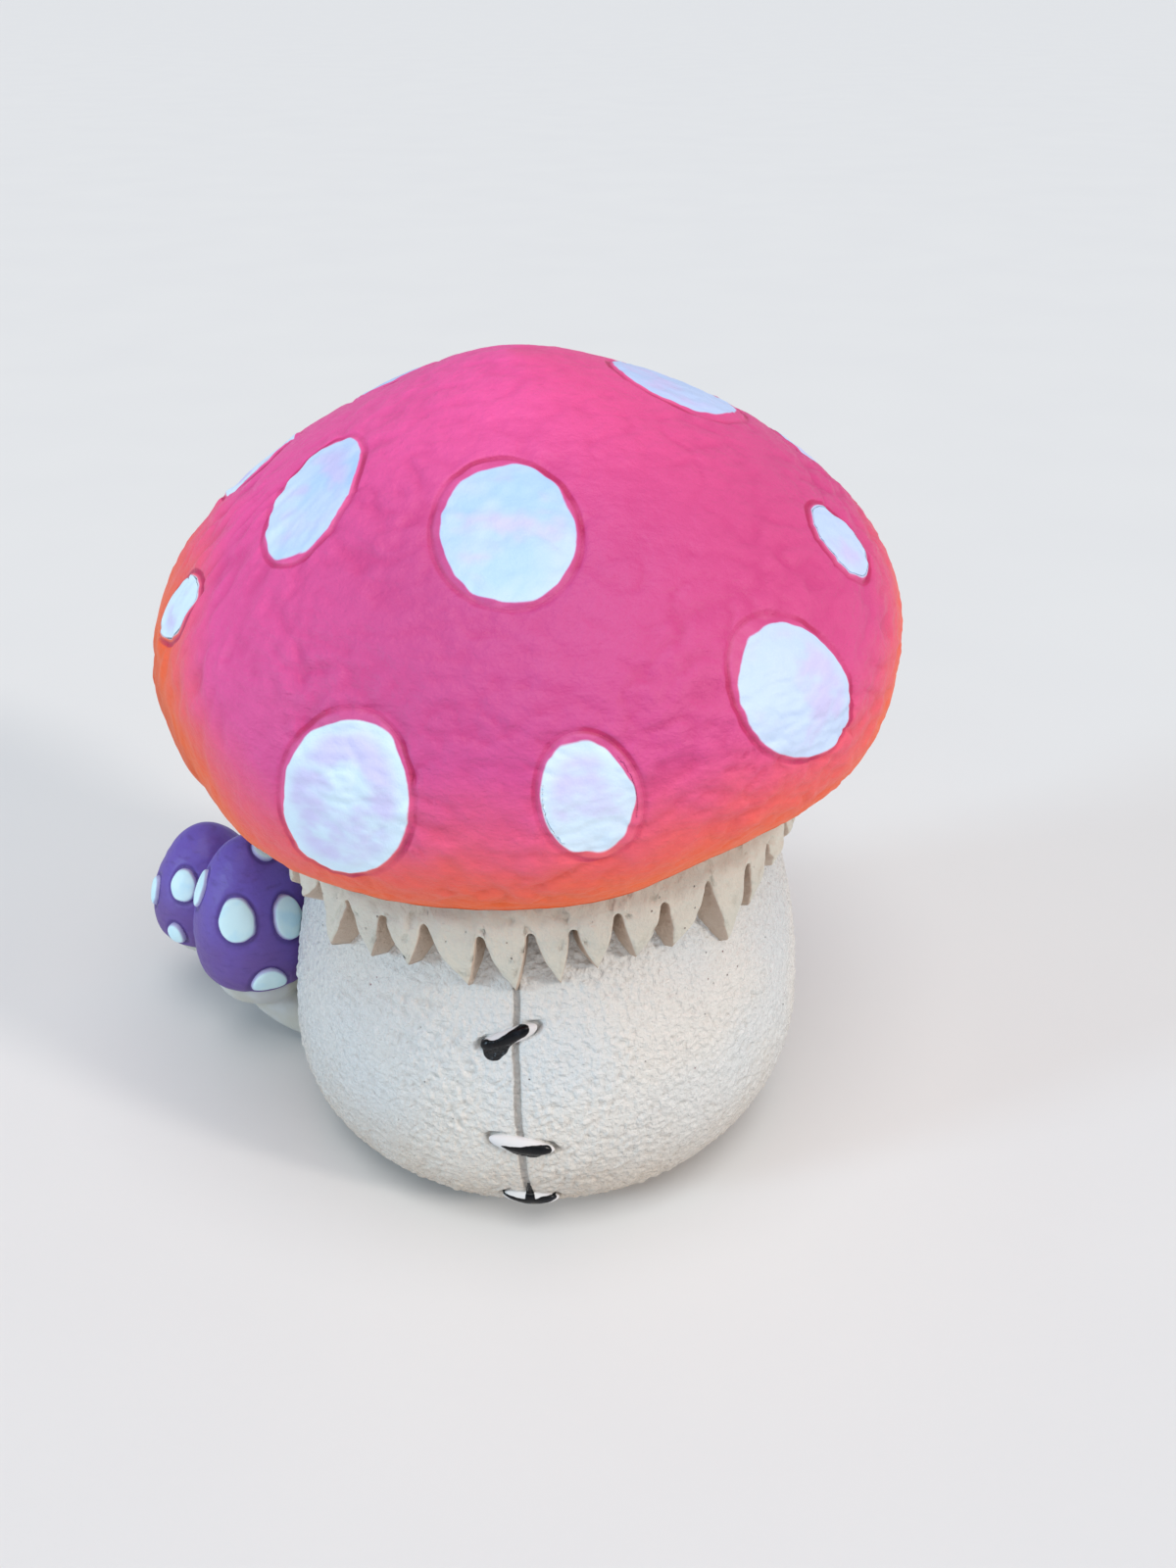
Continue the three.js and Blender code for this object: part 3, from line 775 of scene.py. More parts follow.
# The face closes on itself across, but not up, so only its first direction wraps
wrap = np.array([2 * math.pi * FACE_RADIUS, 1e9])
to_edge = np.full(face_turn.shape, FAR_FROM_EDGE)
for shift in range(-leaf_columns, leaf_columns + 1):
    start = np.tile(np.roll(edge_line, shift, axis=0), (FACE_ROWS, 1))
    end = np.tile(np.roll(edge_line, shift - 1, axis=0), (FACE_ROWS, 1))
    gone = (face_flat - start + wrap / 2) % wrap - wrap / 2
    way = (end - start + wrap / 2) % wrap - wrap / 2
    part = np.clip(np.sum(gone * way, axis=1) / np.maximum(np.sum(way * way, axis=1), 1e-9), 0, 1)
    to_edge = np.minimum(to_edge, np.hypot(*(gone - part[:, None] * way).T))
inward = 1 - np.minimum(to_edge / ROUND_OVER, 1)
face_plain = turned(PITTED_RADIUS, face_turn, face_height)
gouges = smooth(lumps(face_plain, 1.6, 14), 0.34, 0.5)
pits = 0.3 * lumps(face_plain, 3.2, 11) + 0.17 * lumps(face_plain, 1.4, 12) - 0.24 * gouges
to_tip = smooth((face_height - LEAF_ROOT) / (np.tile(leaf_low, FACE_ROWS) - LEAF_ROOT), 0.35, 1)
tapered = TIP_TAPER * np.tile(leaf_thin, FACE_ROWS) * to_tip
face_out = face_radius(face_height) + pits - tapered - ROUND_DEPTH * (1 - np.sqrt(1 - inward**2))
print("face points", len(face_out), "rounded", int((inward > 0).sum()))

# %% Frill walls
WALL_ROWS = 6
WALL_DROP = 1.6
WALL_TUCK = 1.6
BACK_RADIUS = 35.2
BACK_LOW = -1.8
BACK_GAP = 0.1
BACK_STEP = -0.6
FRILL_BORE = 33.0
FRILL_ASIDE = np.array([-0.8, 0, 0])

outer = face_out[-len(edge_turn):]
wall_low = edge_low - WALL_DROP * smooth(-edge_low, 1, 8) * (1 + smooth(-edge_turn, 0.8, 0.95))
foot_height = lean(turned(TOP_RADIUS, edge_turn, wall_low))[:, 2]
inner = np.maximum(stem_line.radius_at(foot_height) - WALL_TUCK, FRILL_BORE)
wall_share = np.linspace(0, 1, WALL_ROWS + 1)[1:, None]
wall_radius = outer + wall_share * (inner - outer)
wall_height = edge_low + wall_share * (wall_low - edge_low)
wall_across = np.tile(edge_turn, WALL_ROWS) * FACE_RADIUS
carved = np.column_stack([wall_across, wall_radius.ravel(), wall_height.ravel()])
wall_height = wall_height + 0.14 * lumps(carved, 1.5, 13).reshape(wall_height.shape) * (1 - wall_share)
columns = len(edge_turn)
back_radius = np.concatenate([np.minimum(inner, BACK_RADIUS), np.full(2 * columns, FRILL_BORE)])
back_height = np.append(np.maximum(edge_low + BACK_GAP, BACK_LOW), np.repeat([BACK_STEP, FRILL_TOP], columns))
radius = np.concatenate([face_out, wall_radius.ravel(), back_radius])
height = np.concatenate([face_height, wall_height.ravel(), back_height])
frill_rows = FACE_ROWS + WALL_ROWS + 3
wall_turn = edge_turn + wall_share * edge_bevel / FACE_RADIUS
frill_turn = np.concatenate([face_turn, wall_turn.ravel(), np.tile(wall_turn[-1], 3)])
frill_points = lean(turned(radius, frill_turn, height) + FRILL_ASIDE)
print("frill rows", frill_rows)

# %% Frill paint
BEIGE = tone(221, 215, 199)
BEIGE_COOL = tone(212, 208, 194)
# The brown of the painted shade in the pits and under the cap
FRILL_SHADE = tone(166, 150, 132)
HOLE_BROWN = tone(118, 84, 80)
LEAF_TAN = tone(208, 189, 170)
LEAF_BROWN = tone(194, 173, 154)

frill_paint, place = new_paint("pitted_beige")
beige = mix(ease(cloud(place, 9, 2), 0.35, 0.65), BEIGE, BEIGE_COOL)
# Painted shade: the pits, and the top of the frill in the cap's shadow, are painted brown
pitted = mix(ease(kept(place, "hollow"), 0.3, 1.0) * 0.6, beige, FRILL_SHADE)
hole = pinholes(place, 2.1, 0.035, 0.085)
pricked = mix(hole * 0.6 * ease(cloud(place, 5, 1), 0.4, 0.55), pitted, HOLE_BROWN)
tan = mix(cloud(place, 2.5, 3), LEAF_TAN, LEAF_BROWN)
walled = mix(ease(kept(place, "wall") + cloud(place, 1.2, 2) * 0.3 - 0.15, 0.3, 0.7), pricked, tan)
brush_on(place, walled, 0.42 + cloud(place, 3, 2) * 0.15, bumps(cloud(place, 1.0, 4, 0.6) - hole, 0.45))
print("paint", frill_paint.name)

# %% Frill piece
hidden = (WALL_ROWS + 3) * columns
wall = np.append(smooth(-to_edge, -0.28, -0.02), np.ones(hidden))
# Painted shade: darker in the deeper pits, and in a band at the top where the cap's shadow falls
hollow = np.append(np.clip(-pits / 1.3 + 0.84 * smooth(face_height, -4, 1.5), 0, 1), np.zeros(hidden))
quads = net(frill_rows, columns)
first = np.arange(columns)
last_row = first + (frill_rows - 1) * columns
closing = np.column_stack([last_row, np.roll(last_row, -1), np.roll(first, -1), first])
make_piece("notched_frill", frill_points, np.vstack([quads, closing]), np.zeros((0, 3), int), frill_paint,
           "frill_collar", "collar_paint", wall=wall, hollow=hollow)
print("frill", len(frill_points), "points")

# %% [markdown]
# ## Spots on a dome
#
# Each spot is an oval disc set in a ring groove. An oval drawn in degrees would bend like a bean near the top
# of the cap, so the dome is first laid flat, as a map with its top in the middle, where a spot keeps its
# shape. The two helpers go from the map's millimetres to the dome and back.

# %% Map of the dome
SETTLE_ROUNDS = 8
# Turn and tilt to the left in degrees, the way down and the oval in millimetres, then how far the white lies
# right and up, and its share of the oval
Spot = namedtuple("Spot", "turn down wide tall tilt shift_right shift_up share", defaults=(0, 0, 0, 1))
CAP_SPOTS = [Spot(*values) for values in (
    (-46.2, 34.6, 14.0, 23.1, 30, 0.0, 0.0, 0.92), (4.8, 36.9, 18.1, 22.8, 10, 0.35, -0.15, 0.9),
    (-62.8, 57.1, 10.3, 11.9, -50, 0.1, 0.0, 0.94), (72.5, 53.0, 11.3, 13.0, -20, 0.1, 0.0, 0.94),
    (45.3, 65.8, 17.4, 24.2, 38, 0.3, -0.9, 0.93), (-18.8, 71.8, 17.8, 24.6, -29, 0.3, -0.4, 0.92),
    (13.6, 71.6, 12.7, 17.0, 13, -0.7, 0.3, 0.87), (104, 25.0, 21.0, 21.0, 0, 0.0, 0.8, 0.88),
    (-122, 21.0, 16.2, 16.2, 0, -0.6, 0.0, 0.86), (-93, 40.0, 13.0, 15.1, 25, 0.3, 0.0, 0.9),
    (107, 47.0, 11.9, 13.0, -15, 0.6, 0.5, 0.84), (148, 63.0, 16.7, 20.5, 30, 0.4, -0.2, 0.93),
    (178, 37.0, 18.4, 21.6, -12, -0.3, 0.3, 0.92), (-152, 69.0, 16.7, 21.1, -30, 0.3, 0.4, 0.92),
    (-108, 67.0, 13.5, 15.7, 20, -0.2, -0.3, 0.93), (117, 76.0, 11.9, 14.0, 15, 0.2, 0.2, 0.93),
)]


def onto_dome(line, spot, right, up):
    """Way down and turn of a point right of and above a spot's middle."""
    front = spot.down - up
    far = np.abs(front)
    # The dome's width depends on the way down, and a few rounds settle both
    for _ in range(SETTLE_ROUNDS):
        side = right * far / np.maximum(line.at(far, line.radius), 1e-6)
        far = np.hypot(front, side)
    return far, math.radians(spot.turn) + np.arctan2(side, front)


def off_dome(line, spot, down, turn):
    """How far right of and above a spot's middle a point of the dome lies."""
    away = turn - math.radians(spot.turn)
    return line.at(down, line.radius) * np.sin(away), spot.down - down * np.cos(away)


def oval(spot, angle, share, grow):
    """Points on a spot's oval, scaled by a share and then moved straight out."""
    wide, tall = spot.wide / 2, spot.tall / 2
    out = np.array([np.cos(angle) / wide, np.sin(angle) / tall])
    out /= np.linalg.norm(out, axis=0)
    right = share * wide * np.cos(angle) + grow * out[0]
    up = share * tall * np.sin(angle) + grow * out[1]
    return swing(spot.tilt, right, up)


print(len(CAP_SPOTS), "spots on the cap")

# %% Cap relief
SIDE_RADIUS = 48
LYING_SQUASH = 1.8
STANDING_STRETCH = 2.6


def cap_relief(down, turn):
    """Dents left by the modelling tool. They run level in front, and down the slope on the left."""
    points = cap_line.points(down, turn)
    level = points * [1, 1, LYING_SQUASH]
    round_side = SIDE_RADIUS * np.sin(turn), SIDE_RADIUS * np.cos(turn)
    upright = np.column_stack([*round_side, down / STANDING_STRETCH])
    ridged = np.abs(lumps(level, 6.5, 22))
    lying = 0.32 * lumps(level, 4.4, 23) + 0.3 * lumps(level, 2.0, 24) - 0.3 * smooth(0.2 - ridged, 0, 0.2)
    standing = 0.44 * lumps(upright, 3.4, 26) + 0.6 * lumps(upright, 1.8, 27)
    on_left = smooth(-np.sin(turn), 0.35, 0.8) * smooth(down, 24, 42)
    dents = lying + on_left * (standing - lying)
    patches = 0.45 + 0.6 * smooth(lumps(points, 13, 25), -0.35, 0.4)
    strength = patches * (0.45 + 0.55 * smooth(down, 18, 44))
    return 0.4 * lumps(points, 24, 21) + strength * dents, np.clip(-dents / 0.35, 0, 1) * strength


RIM_PULL = (64, 84)
# How the rim hangs: turns between which a part swells and fades, and how many millimetres it lies higher
RIM_WAVES = [(-104, -78, -56, -40, 2.0), (-50, -34, 12, 28, -0.85), (20, 36, 44, 64, 1.4)]


def half_turns(turn):
    """A turn in degrees, from -180 to 180."""
    return np.degrees((turn + math.pi) % (2 * math.pi) - math.pi)


def cap_points(down, turn, lift):
    """Points of the cap. Its rim was pulled by hand, so it hangs lowest in front."""
    points = cap_line.points(down, turn, lift)
    degrees = half_turns(turn)
    for swells, full, fades, gone, rise in RIM_WAVES:
        share = smooth(degrees, swells, full) * (1 - smooth(degrees, fades, gone))
        points[:, 2] += rise * share * smooth(down, *RIM_PULL)
    return points


# The orange begins lowest at one turn, climbs on both sides of it, and fades in over some millimetres
BLUSH_TURN = math.radians(11)
BLUSH_START = 66
BLUSH_CLIMB = 28
BLUSH_FADE = 26


def cap_marks(down, turn):
    """Where each paint lies: orange by the rim, painted shade in deeper pink round the middle, warmer pink on
    the right.
    """
    aside = np.abs(half_turns(turn - BLUSH_TURN))
    climb = BLUSH_CLIMB - 11 * smooth(np.sin(turn), 0.5, 1)
    begins = BLUSH_START - smooth(aside, 40, 82) * climb + 7 * smooth(aside, 95, 150)
    # Painted shade: a deeper pink round the middle, fading out on the far left
    belt = smooth(down, 12, 46) * (1 - 0.6 * smooth(down, 60, 78)) * smooth(np.sin(turn), -1.0, -0.1)
    return {"blush": (down - begins) / BLUSH_FADE, "belt": belt, "warm": smooth(np.sin(turn), 0, 0.9)}


print("blush in front, 80 mm down:", cap_marks(np.array([80.0]), np.array([0.0]))["blush"].round(2))

# %% [markdown]
# ## Cap
#
# The cap's grooves are narrow and its dome is wide, so one even net would need a million points. Instead the
# dome's map is sown with points about half a millimetre apart, the spots' places are left out, rings of
# points go in at each groove, and a Delaunay triangulation joins them all. The rim then rolls under to the
# frill.

# %% Points on the map
SOW_STEP = 0.62
RIM_SIDES = 520
SPOT_SIDES = 120
SEAT_MARGIN = 2.3
# The start of each ring of points, so that no two rings line up
GOLDEN = 0.618
# Each ring of a seat: share of the oval, millimetres outside it, lift off the dome
SEAT_RINGS = [
    (1, 1.6, 0), (1, 1.05, 0), (1, 0.75, -0.01), (1, 0.55, -0.05), (1, 0.4, -0.11), (1, 0.26, -0.17),
    (1, 0.12, -0.2), (1, -0.08, -0.2), (1, -0.45, -0.34), (1, -1.1, -0.6), (0.7, 0, -0.8), (0.35, 0, -0.8),
]


def joined(rows):
    """Each column of many rows as one long array. A single number fills its part of a row."""
    filled = [np.broadcast_arrays(*map(np.atleast_1d, row)) for row in rows]
    return [np.concatenate(parts) for parts in zip(*filled)]


def all_round(count):
    """Even turns round a full circle."""
    return np.arange(count) * 2 * math.pi / count


sown = []
for ring, far in enumerate(np.arange(SOW_STEP, cap_line.length - SOW_STEP / 2, SOW_STEP)):
    count = max(6, round(2 * math.pi * float(cap_line.at(far, cap_line.radius)) / SOW_STEP))
    sown.append((far, (np.arange(count) + GOLDEN * ring) * 2 * math.pi / count))
sown_down, sown_turn = joined(sown)
free = np.ones(len(sown_down), bool)
for spot in CAP_SPOTS:
    along, beside = swing(-spot.tilt, *off_dome(cap_line, spot, sown_down, sown_turn))
    same_side = np.cos(sown_turn - math.radians(spot.turn)) > 0
    reach = np.hypot(along / (spot.wide / 2 + SEAT_MARGIN), beside / (spot.tall / 2 + SEAT_MARGIN))
    free &= ~(same_side & (reach < 1))
print("sown", int(free.sum()), "points")

# %% Seats
GROOVE_LIFT = [-0.18, -0.01]

angle = all_round(SPOT_SIDES)
rim_turn = all_round(RIM_SIDES)
rows = [(0, 0, 0, 0), (sown_down[free], sown_turn[free], 0, 0)]
for spot in CAP_SPOTS:
    for share, grow, lift in SEAT_RINGS:
        far, aside = onto_dome(cap_line, spot, *oval(spot, angle, share, grow))
        rows.append((far, aside, lift, np.interp(lift, GROOVE_LIFT, [1, 0])))
rows.append((cap_line.length, rim_turn, 0, 0))
down, turn, lift, groove = joined(rows)
print("cap points", len(down))

# %% Triangles
flat_map = np.column_stack([down * np.sin(turn), -down * np.cos(turn)])
woven = delaunay_2d_cdt([Vector(p) for p in flat_map], [], [], 0, 1e-6)
origin = np.array([ids[0] for ids in woven[3]])
dome_tris = origin[np.array(woven[2])]
raise_by, dent = cap_relief(down, turn)
at_rim = smooth(cap_line.length - down, 0, 4)
dome = cap_points(down, turn, raise_by * (0.3 + 0.7 * at_rim) + lift)
print("triangles", len(dome_tris))

# %% Lip under the rim
LIP_ROWS = 10
UNDERSIDE = 8.5
UNDERSIDE_RADIUS = 33.5

lip = bend([(46, 7), (44.7, 5.7), (39, UNDERSIDE)], LIP_ROWS + 1)[1:]
under = np.vstack([lip, [[UNDERSIDE_RADIUS, UNDERSIDE]]])
rim_shift = dome[-RIM_SIDES:] - cap_line.points(down[-RIM_SIDES:], rim_turn)
rows = []
for k, (radius, height) in enumerate(under, 1):
    rows.append(turned(radius, rim_turn, height) + rim_shift * (1 - smooth(k, LIP_ROWS / 2, LIP_ROWS)))
points = np.vstack([dome, *rows, [[0, 0, UNDERSIDE]]])
rim_start = len(dome) - RIM_SIDES
quads = net(len(under) + 1, RIM_SIDES, rim_start)
last = len(points) - 1
tris = np.vstack([dome_tris, fan(np.arange(RIM_SIDES) + last - RIM_SIDES, last)])
tail = len(points) - len(dome)
print("cap", len(points), "points")

# %% [markdown]
# The cap's paint has three parts. Pink was brushed on unevenly, with thin streaks that run level, and it is
# painted deeper in the dents and round the middle, which is painted shade. Orange was airbrushed from below,
# so it has no edge, and its lowest edge is painted darker, also painted shade. Crimson in the ring grooves is
# partly paint run into them and partly painted shade. The margin of each spot shows the same paint, so the
# mix is made by one function that both materials use.

# %% Cap paint
ROSE = tone(242, 90, 161)
BERRY = tone(202, 79, 142)
ROSE_RED = tone(230, 78, 134)
DEEP_PINK = tone(196, 54, 120)
ORANGE = tone(252, 110, 52)
ORANGE_PINK = tone(244, 100, 56)
# The darker orange of the painted shade at and under the rim's lowest edge
RIM_SHADE = tone(226, 84, 22)
CRIMSON = tone(184, 36, 90)
CAP_GLOSS = 0.25


def cap_colour(place):
    """Pink with streaks and painted shade in its dents, under orange that grows towards the rim."""
    # Painted shade: the deeper pink round the middle
    pink = mix(kept(place, "warm") * 0.5, mix(kept(place, "belt"), ROSE, BERRY), ROSE_RED)
    streaks = cloud(stretch(place, 1, 1, 2.4), 3.2, 3, 0.6)
    brushed = mix(ease(streaks, 0.45, 0.8) * 0.2, pink, DEEP_PINK)
    # Painted shade: the dents are painted deeper pink
    dent_shaded = mix(kept(place, "dent") * 0.42, brushed, DEEP_PINK)
    blush = ease(kept(place, "blush") + (cloud(place, 9, 3) - 0.5) * 0.3, 0.0, 1.0)
    orange = mix(streaks, ORANGE, ORANGE_PINK)
    # Painted shade: the orange darkens at and under the rim's lowest edge
    return mix(blush, dent_shaded, mix(ease(kept(place, "blush"), 0.92, 1.2) * 0.75, orange, RIM_SHADE))


def cap_bumps(place):
    """Fine marks of a brush."""
    return cloud(stretch(place, 1, 1, 1.5), 1.4, 4, 0.6)


def groove_share(place):
    """Crimson, part paint and part painted shade, lies unevenly in the groove and is nearly gone in places.
    """
    return ease(kept(place, "groove"), 0.3, 1.0) * (0.2 + ease(cloud(place, 8, 1), 0.38, 0.62) * 0.6)


cap_paint, place = new_paint("brushed_pink")
grooved = mix(groove_share(place), cap_colour(place), CRIMSON)
brush_on(place, grooved, 0.36 + cloud(place, 5, 3) * 0.2, bumps(cap_bumps(place), 0.32), CAP_GLOSS)
marks = {name: np.append(mark, np.ones(tail)) for name, mark in cap_marks(down, turn).items()}
make_piece("leaning_cap", lean(points), quads, tris, cap_paint, "cap", "cap_paint",
           groove=np.append(groove, np.zeros(tail)), dent=np.append(dent, np.zeros(tail)), **marks)
print("paint", cap_paint.name)

# %% [markdown]
# ## Spots of the cap
#
# A spot is a disc of the same clay, nearly level with the cap. Thick white was dabbed on it by hand: its edge
# wobbles, it leaves a margin of pink, and it is thin enough in places for lilac to show. A flat disc with a
# painted edge would look printed, so the paint stands up a tenth of a millimetre in the mesh, and the disc's
# rim drops into the groove.

# %% Spot paint
SPOT_WHITE = tone(196, 216, 251)
SPOT_BLUE = tone(178, 210, 250)
SPOT_BRIGHT = tone(226, 246, 255)
SPOT_RIGHT = tone(192, 210, 248)
LILAC = tone(210, 200, 243)

spot_paint, place = new_paint("dabbed_white")
wobble = cloud(place, 2.4, 2) * 0.3 - 0.15
white = ease(kept(place, "white") + wobble, -0.15, 0.15)
shaded = mix(ease(cloud(place, 8, 2), 0.35, 0.65), SPOT_WHITE, SPOT_BLUE)
lower = mix(ease(kept(place, "blush"), -1.2, 0.3) * 0.8, shaded, SPOT_BRIGHT)
base = mix(kept(place, "warm") * 0.7, lower, SPOT_RIGHT)
thin = ease(cloud(stretch(place, 1, 1, 1.5), 9, 3, 0.5), 0.43, 0.62) * ease(kept(place, "white"), 0.2, 2.4)
dabbed = mix(thin * 0.8, base, LILAC)
margin = mix(groove_share(place), cap_colour(place), CRIMSON)
blend = ease(kept(place, "white"), -0.8, 0.9)
spot_height = cloud(place, 2.1, 4, 0.6) * blend + cap_bumps(place) * (1 - blend)
brush_on(place, mix(white, margin, dabbed), 0.45 + cloud(place, 4, 2) * 0.15, bumps(spot_height, 0.22))
print("paint", spot_paint.name)

# %% Spot discs
DISC_LOW = -0.62
DISC_RINGS = [(s, 0, 0) for s in np.linspace(0, 0.86, 28)[1:]] + [
    (1, -0.95, 0), (1, -0.74, -0.012), (1, -0.58, -0.05), (1, -0.45, -0.1), (1, -0.32, -0.15),
    (1, -0.2, -0.185), (1, -0.1, -0.195), (1, -0.06, -0.3), (1, -0.13, -0.5), (1, -0.5, -0.6),
    (0.6, 0, DISC_LOW),
]
PAINT_THICK = 0.08
BARE_RIM = 0.7


def below(spot, low):
    """Way down, turn and lift of the one point that closes a disc underneath."""
    return np.array([[spot.down], [math.radians(spot.turn)], [low]])


for number, spot in enumerate(CAP_SPOTS, 1):
    half = min(spot.wide, spot.tall) / 2
    rows = [(0, 0, 0, half)]
    for share, grow, low in DISC_RINGS:
        rows.append((*oval(spot, angle, share, grow), low, (1 - share) * half - grow))
    right, up, lift, inside = joined(rows)
    down, turn = onto_dome(cap_line, spot, right, up)
    plain = cap_line.points(down, turn)
    wide, tall = spot.wide / 2 * spot.share, spot.tall / 2 * spot.share
    along, beside = swing(-spot.tilt, right - spot.shift_right, up - spot.shift_up)
    reach = np.hypot(along / wide, beside / tall)
    lobes = 0.7 * lumps(plain, 5.5, 31) + 0.3 * lumps(plain, 2.6, 32)
    white = np.minimum((1 - reach) * (wide + tall) / 2 + lobes, inside - BARE_RIM)
    raise_by, dent = cap_relief(down, turn)
    daub = 0.15 * lumps(plain, 5.0, 33) + 0.08 * lumps(plain, 2.1, 34)
    top = PAINT_THICK * smooth(white, -0.6, 0) + daub * smooth(white, 0, 1)
    ground = raise_by * (1 - 0.55 * smooth(white, 0, 1.5)) + lift
    skin = cap_points(down, turn, ground + top * (lift > -0.1))
    points = np.vstack([skin, cap_points(*below(spot, DISC_LOW))])
    groove = np.append(np.interp(lift, GROOVE_LIFT, [1, 0]), 0)
    marks = {name: np.append(mark, 0) for name, mark in cap_marks(down, turn).items()}
    make_piece(f"painted_spot_{number:02d}", lean(points), *closed_net(points, SPOT_SIDES), spot_paint,
               f"cap_spot_{number:02d}", "spot_paint", white=np.append(white, 0), groove=groove,
               dent=np.append(dent, 0), **marks)
print("spots", len(CAP_SPOTS), "with", len(points), "points each")

# %% [markdown]
# ## Small mushrooms
#
# Two small purple mushrooms grow from the side. They are built as the large one is, from an outline and a
# net. A boolean could cut away what would enter the belly, but it leaves ragged faces, so such points are
# pressed back to the belly instead. Their spots are fat drops of white on top of the purple, so these discs
# stand proud.

# %% Small outlines
# Turns are in degrees and lengths in millimetres. The widest part is measured up from the rim, and the depth
# is that of the round belly below it
Small = namedtuple("Small", "turn reach rim radius tall widest foot_turn depth")
SMALL = {
    "front": Small(-95, 50.7, 16.8, 10.6, 25.2, 6.5, -95, 7.0),
    "rear": Small(-104.7, 64.06, 16.7, 10.39, 19.9, 4.2, -114, 4.6),
}
SMALL_TUCK = 1.5


def small_line(small):
    """The outline of a small cap, measured from its rim."""
    radius, tall, widest = small.radius, small.tall, small.widest
    upper = [(0, tall), (0.52 * radius, tall), (radius, widest + 0.4 * (tall - widest)), (radius, widest)]
    low_side, low_rim = (radius, 0.45 * widest), (radius - SMALL_TUCK / 2, 0.12 * widest)
    return Outline(upper, [(radius, widest), low_side, low_rim, (radius - SMALL_TUCK, 0)])


SMALL_SPOTS = {
    "front": [Spot(-1, 14.6, 6.2, 8), Spot(54, 16, 5.6, 8), Spot(76, 3.8, 4.3, 4.4), Spot(24, 26.4, 6, 4.6),
              Spot(-70, 12.5, 4.4, 7.4), Spot(170, 14, 5.4, 6.5)],
    "rear": [Spot(-14, 11.5, 5, 6), Spot(-23, 21, 3.6, 4), Spot(-64, 15.5, 3.6, 5.6), Spot(-125, 12, 5, 6),
             Spot(165, 16, 5, 6)],
}


def small_place(small):
    """The middle of a small cap's rim."""
    return turned(small.reach, math.radians(small.turn), small.rim)


def off_belly(points, clear):
    """Presses points back to the belly's surface where they would lie inside it."""
    radius = np.hypot(points[:, 0], points[:, 1])
    belly = stem_line.radius_at(points[:, 2]) + clear
    push = np.maximum(1, belly / radius)
    return points * np.column_stack([push, push, np.ones(len(points))])


print("front stands at", small_place(SMALL["front"]).round(1))

# %% Small paints
VIOLET = tone(108, 86, 184)
VIOLET_DARK = tone(80, 58, 130)
VIOLET_WARM = tone(102, 72, 146)
DROP_WHITE = tone(218, 250, 255)
DROP_BLUE = tone(202, 242, 255)
DROP_EDGE = tone(176, 172, 214)
STALK_PALE = tone(206, 210, 210)
STALK_WARM = tone(196, 196, 186)

purple_paint, place = new_paint("brushed_violet")
height_of = place.node("ShaderNodeSeparateXYZ", {}, {0: place}, "Z")
violet = mix(ease(height_of * (1 / MM) + cloud(place, 6, 2) * 16, 26, 46), VIOLET_WARM, VIOLET)
streaked = mix(ease(cloud(stretch(place, 1, 1, 3), 2.2, 3), 0.5, 0.8) * 0.5, violet, VIOLET_DARK)
# Painted shade: the crease round each drop is painted dark violet
crease_shaded = mix(kept(place, "groove") * 0.75, streaked, VIOLET_DARK)
brush_on(place, crease_shaded, 0.4 + cloud(place, 3, 2) * 0.2, bumps(cloud(place, 1.4, 4), 0.16))

drop_paint, place = new_paint("white_drops")
drop = mix(ease(cloud(place, 3, 2), 0.4, 0.7), DROP_WHITE, DROP_BLUE)
edged = mix(1 - ease(kept(place, "white"), 0.0, 0.5), drop, DROP_EDGE)
brush_on(place, edged, 0.42 + cloud(place, 2, 2) * 0.15, bumps(cloud(place, 1.5, 3), 0.08))

stalk_paint, place = new_paint("pale_stalk")
pale = mix(ease(cloud(place, 6, 2), 0.35, 0.65), STALK_PALE, STALK_WARM)
brush_on(place, pale, 0.46 + cloud(place, 3, 2) * 0.15, bumps(cloud(place, 1.8, 4), 0.1))
print("paints", purple_paint.name, drop_paint.name, stalk_paint.name)

# %% Small caps
SMALL_SIDES = 200
SMALL_STEPS = 130
CREASE_DEPTH = 0.32
CREASE_OUT = 0.3
CREASE_HALF = 0.34
BELLY_CLEAR = 0.05

for key, small in SMALL.items():
    line = small_line(small)
    steps = np.linspace(0, line.length, SMALL_STEPS)[1:]
    turn, down = spread(all_round(SMALL_SIDES), steps)
    plain = line.points(down, turn)
    crease = np.zeros(len(down))
    for spot in SMALL_SPOTS[key]:
        right, up = off_dome(line, spot, down, turn)
        facing = np.cos(turn - math.radians(spot.turn)) > 0
        grown = (np.hypot(right / (spot.wide / 2), up / (spot.tall / 2)) - 1) * (spot.wide + spot.tall) / 4
        crease = np.maximum(crease, facing * np.exp(-(((grown - CREASE_OUT) / CREASE_HALF) ** 2)))
    lift = 0.16 * lumps(plain, 7, 41) + 0.07 * lumps(plain * [1, 1, 2], 2.6, 42) - CREASE_DEPTH * crease
    points = np.vstack([[[0, 0, line.height[0]]], line.points(down, turn, lift), [[0, 0, 0]]])
    make_piece(f"purple_cap_{key}", off_belly(points + small_place(small), BELLY_CLEAR),
               *closed_net(points, SMALL_SIDES), purple_paint, f"small_cap_{key}", "purple_paint",
               groove=np.pad(crease, 1))
    print(key, "cap", len(points), "points")

# %% Drops
DROP_SIDES = 64
DROP_PROUD = 0.62
DROP_SINK = 0.35
DROP_LOW = -0.5
DROP_GROWN = 1.04
DROP_STEPS = 21
DROP_CLEAR = 0.06
DEEP_INSIDE = 3.0

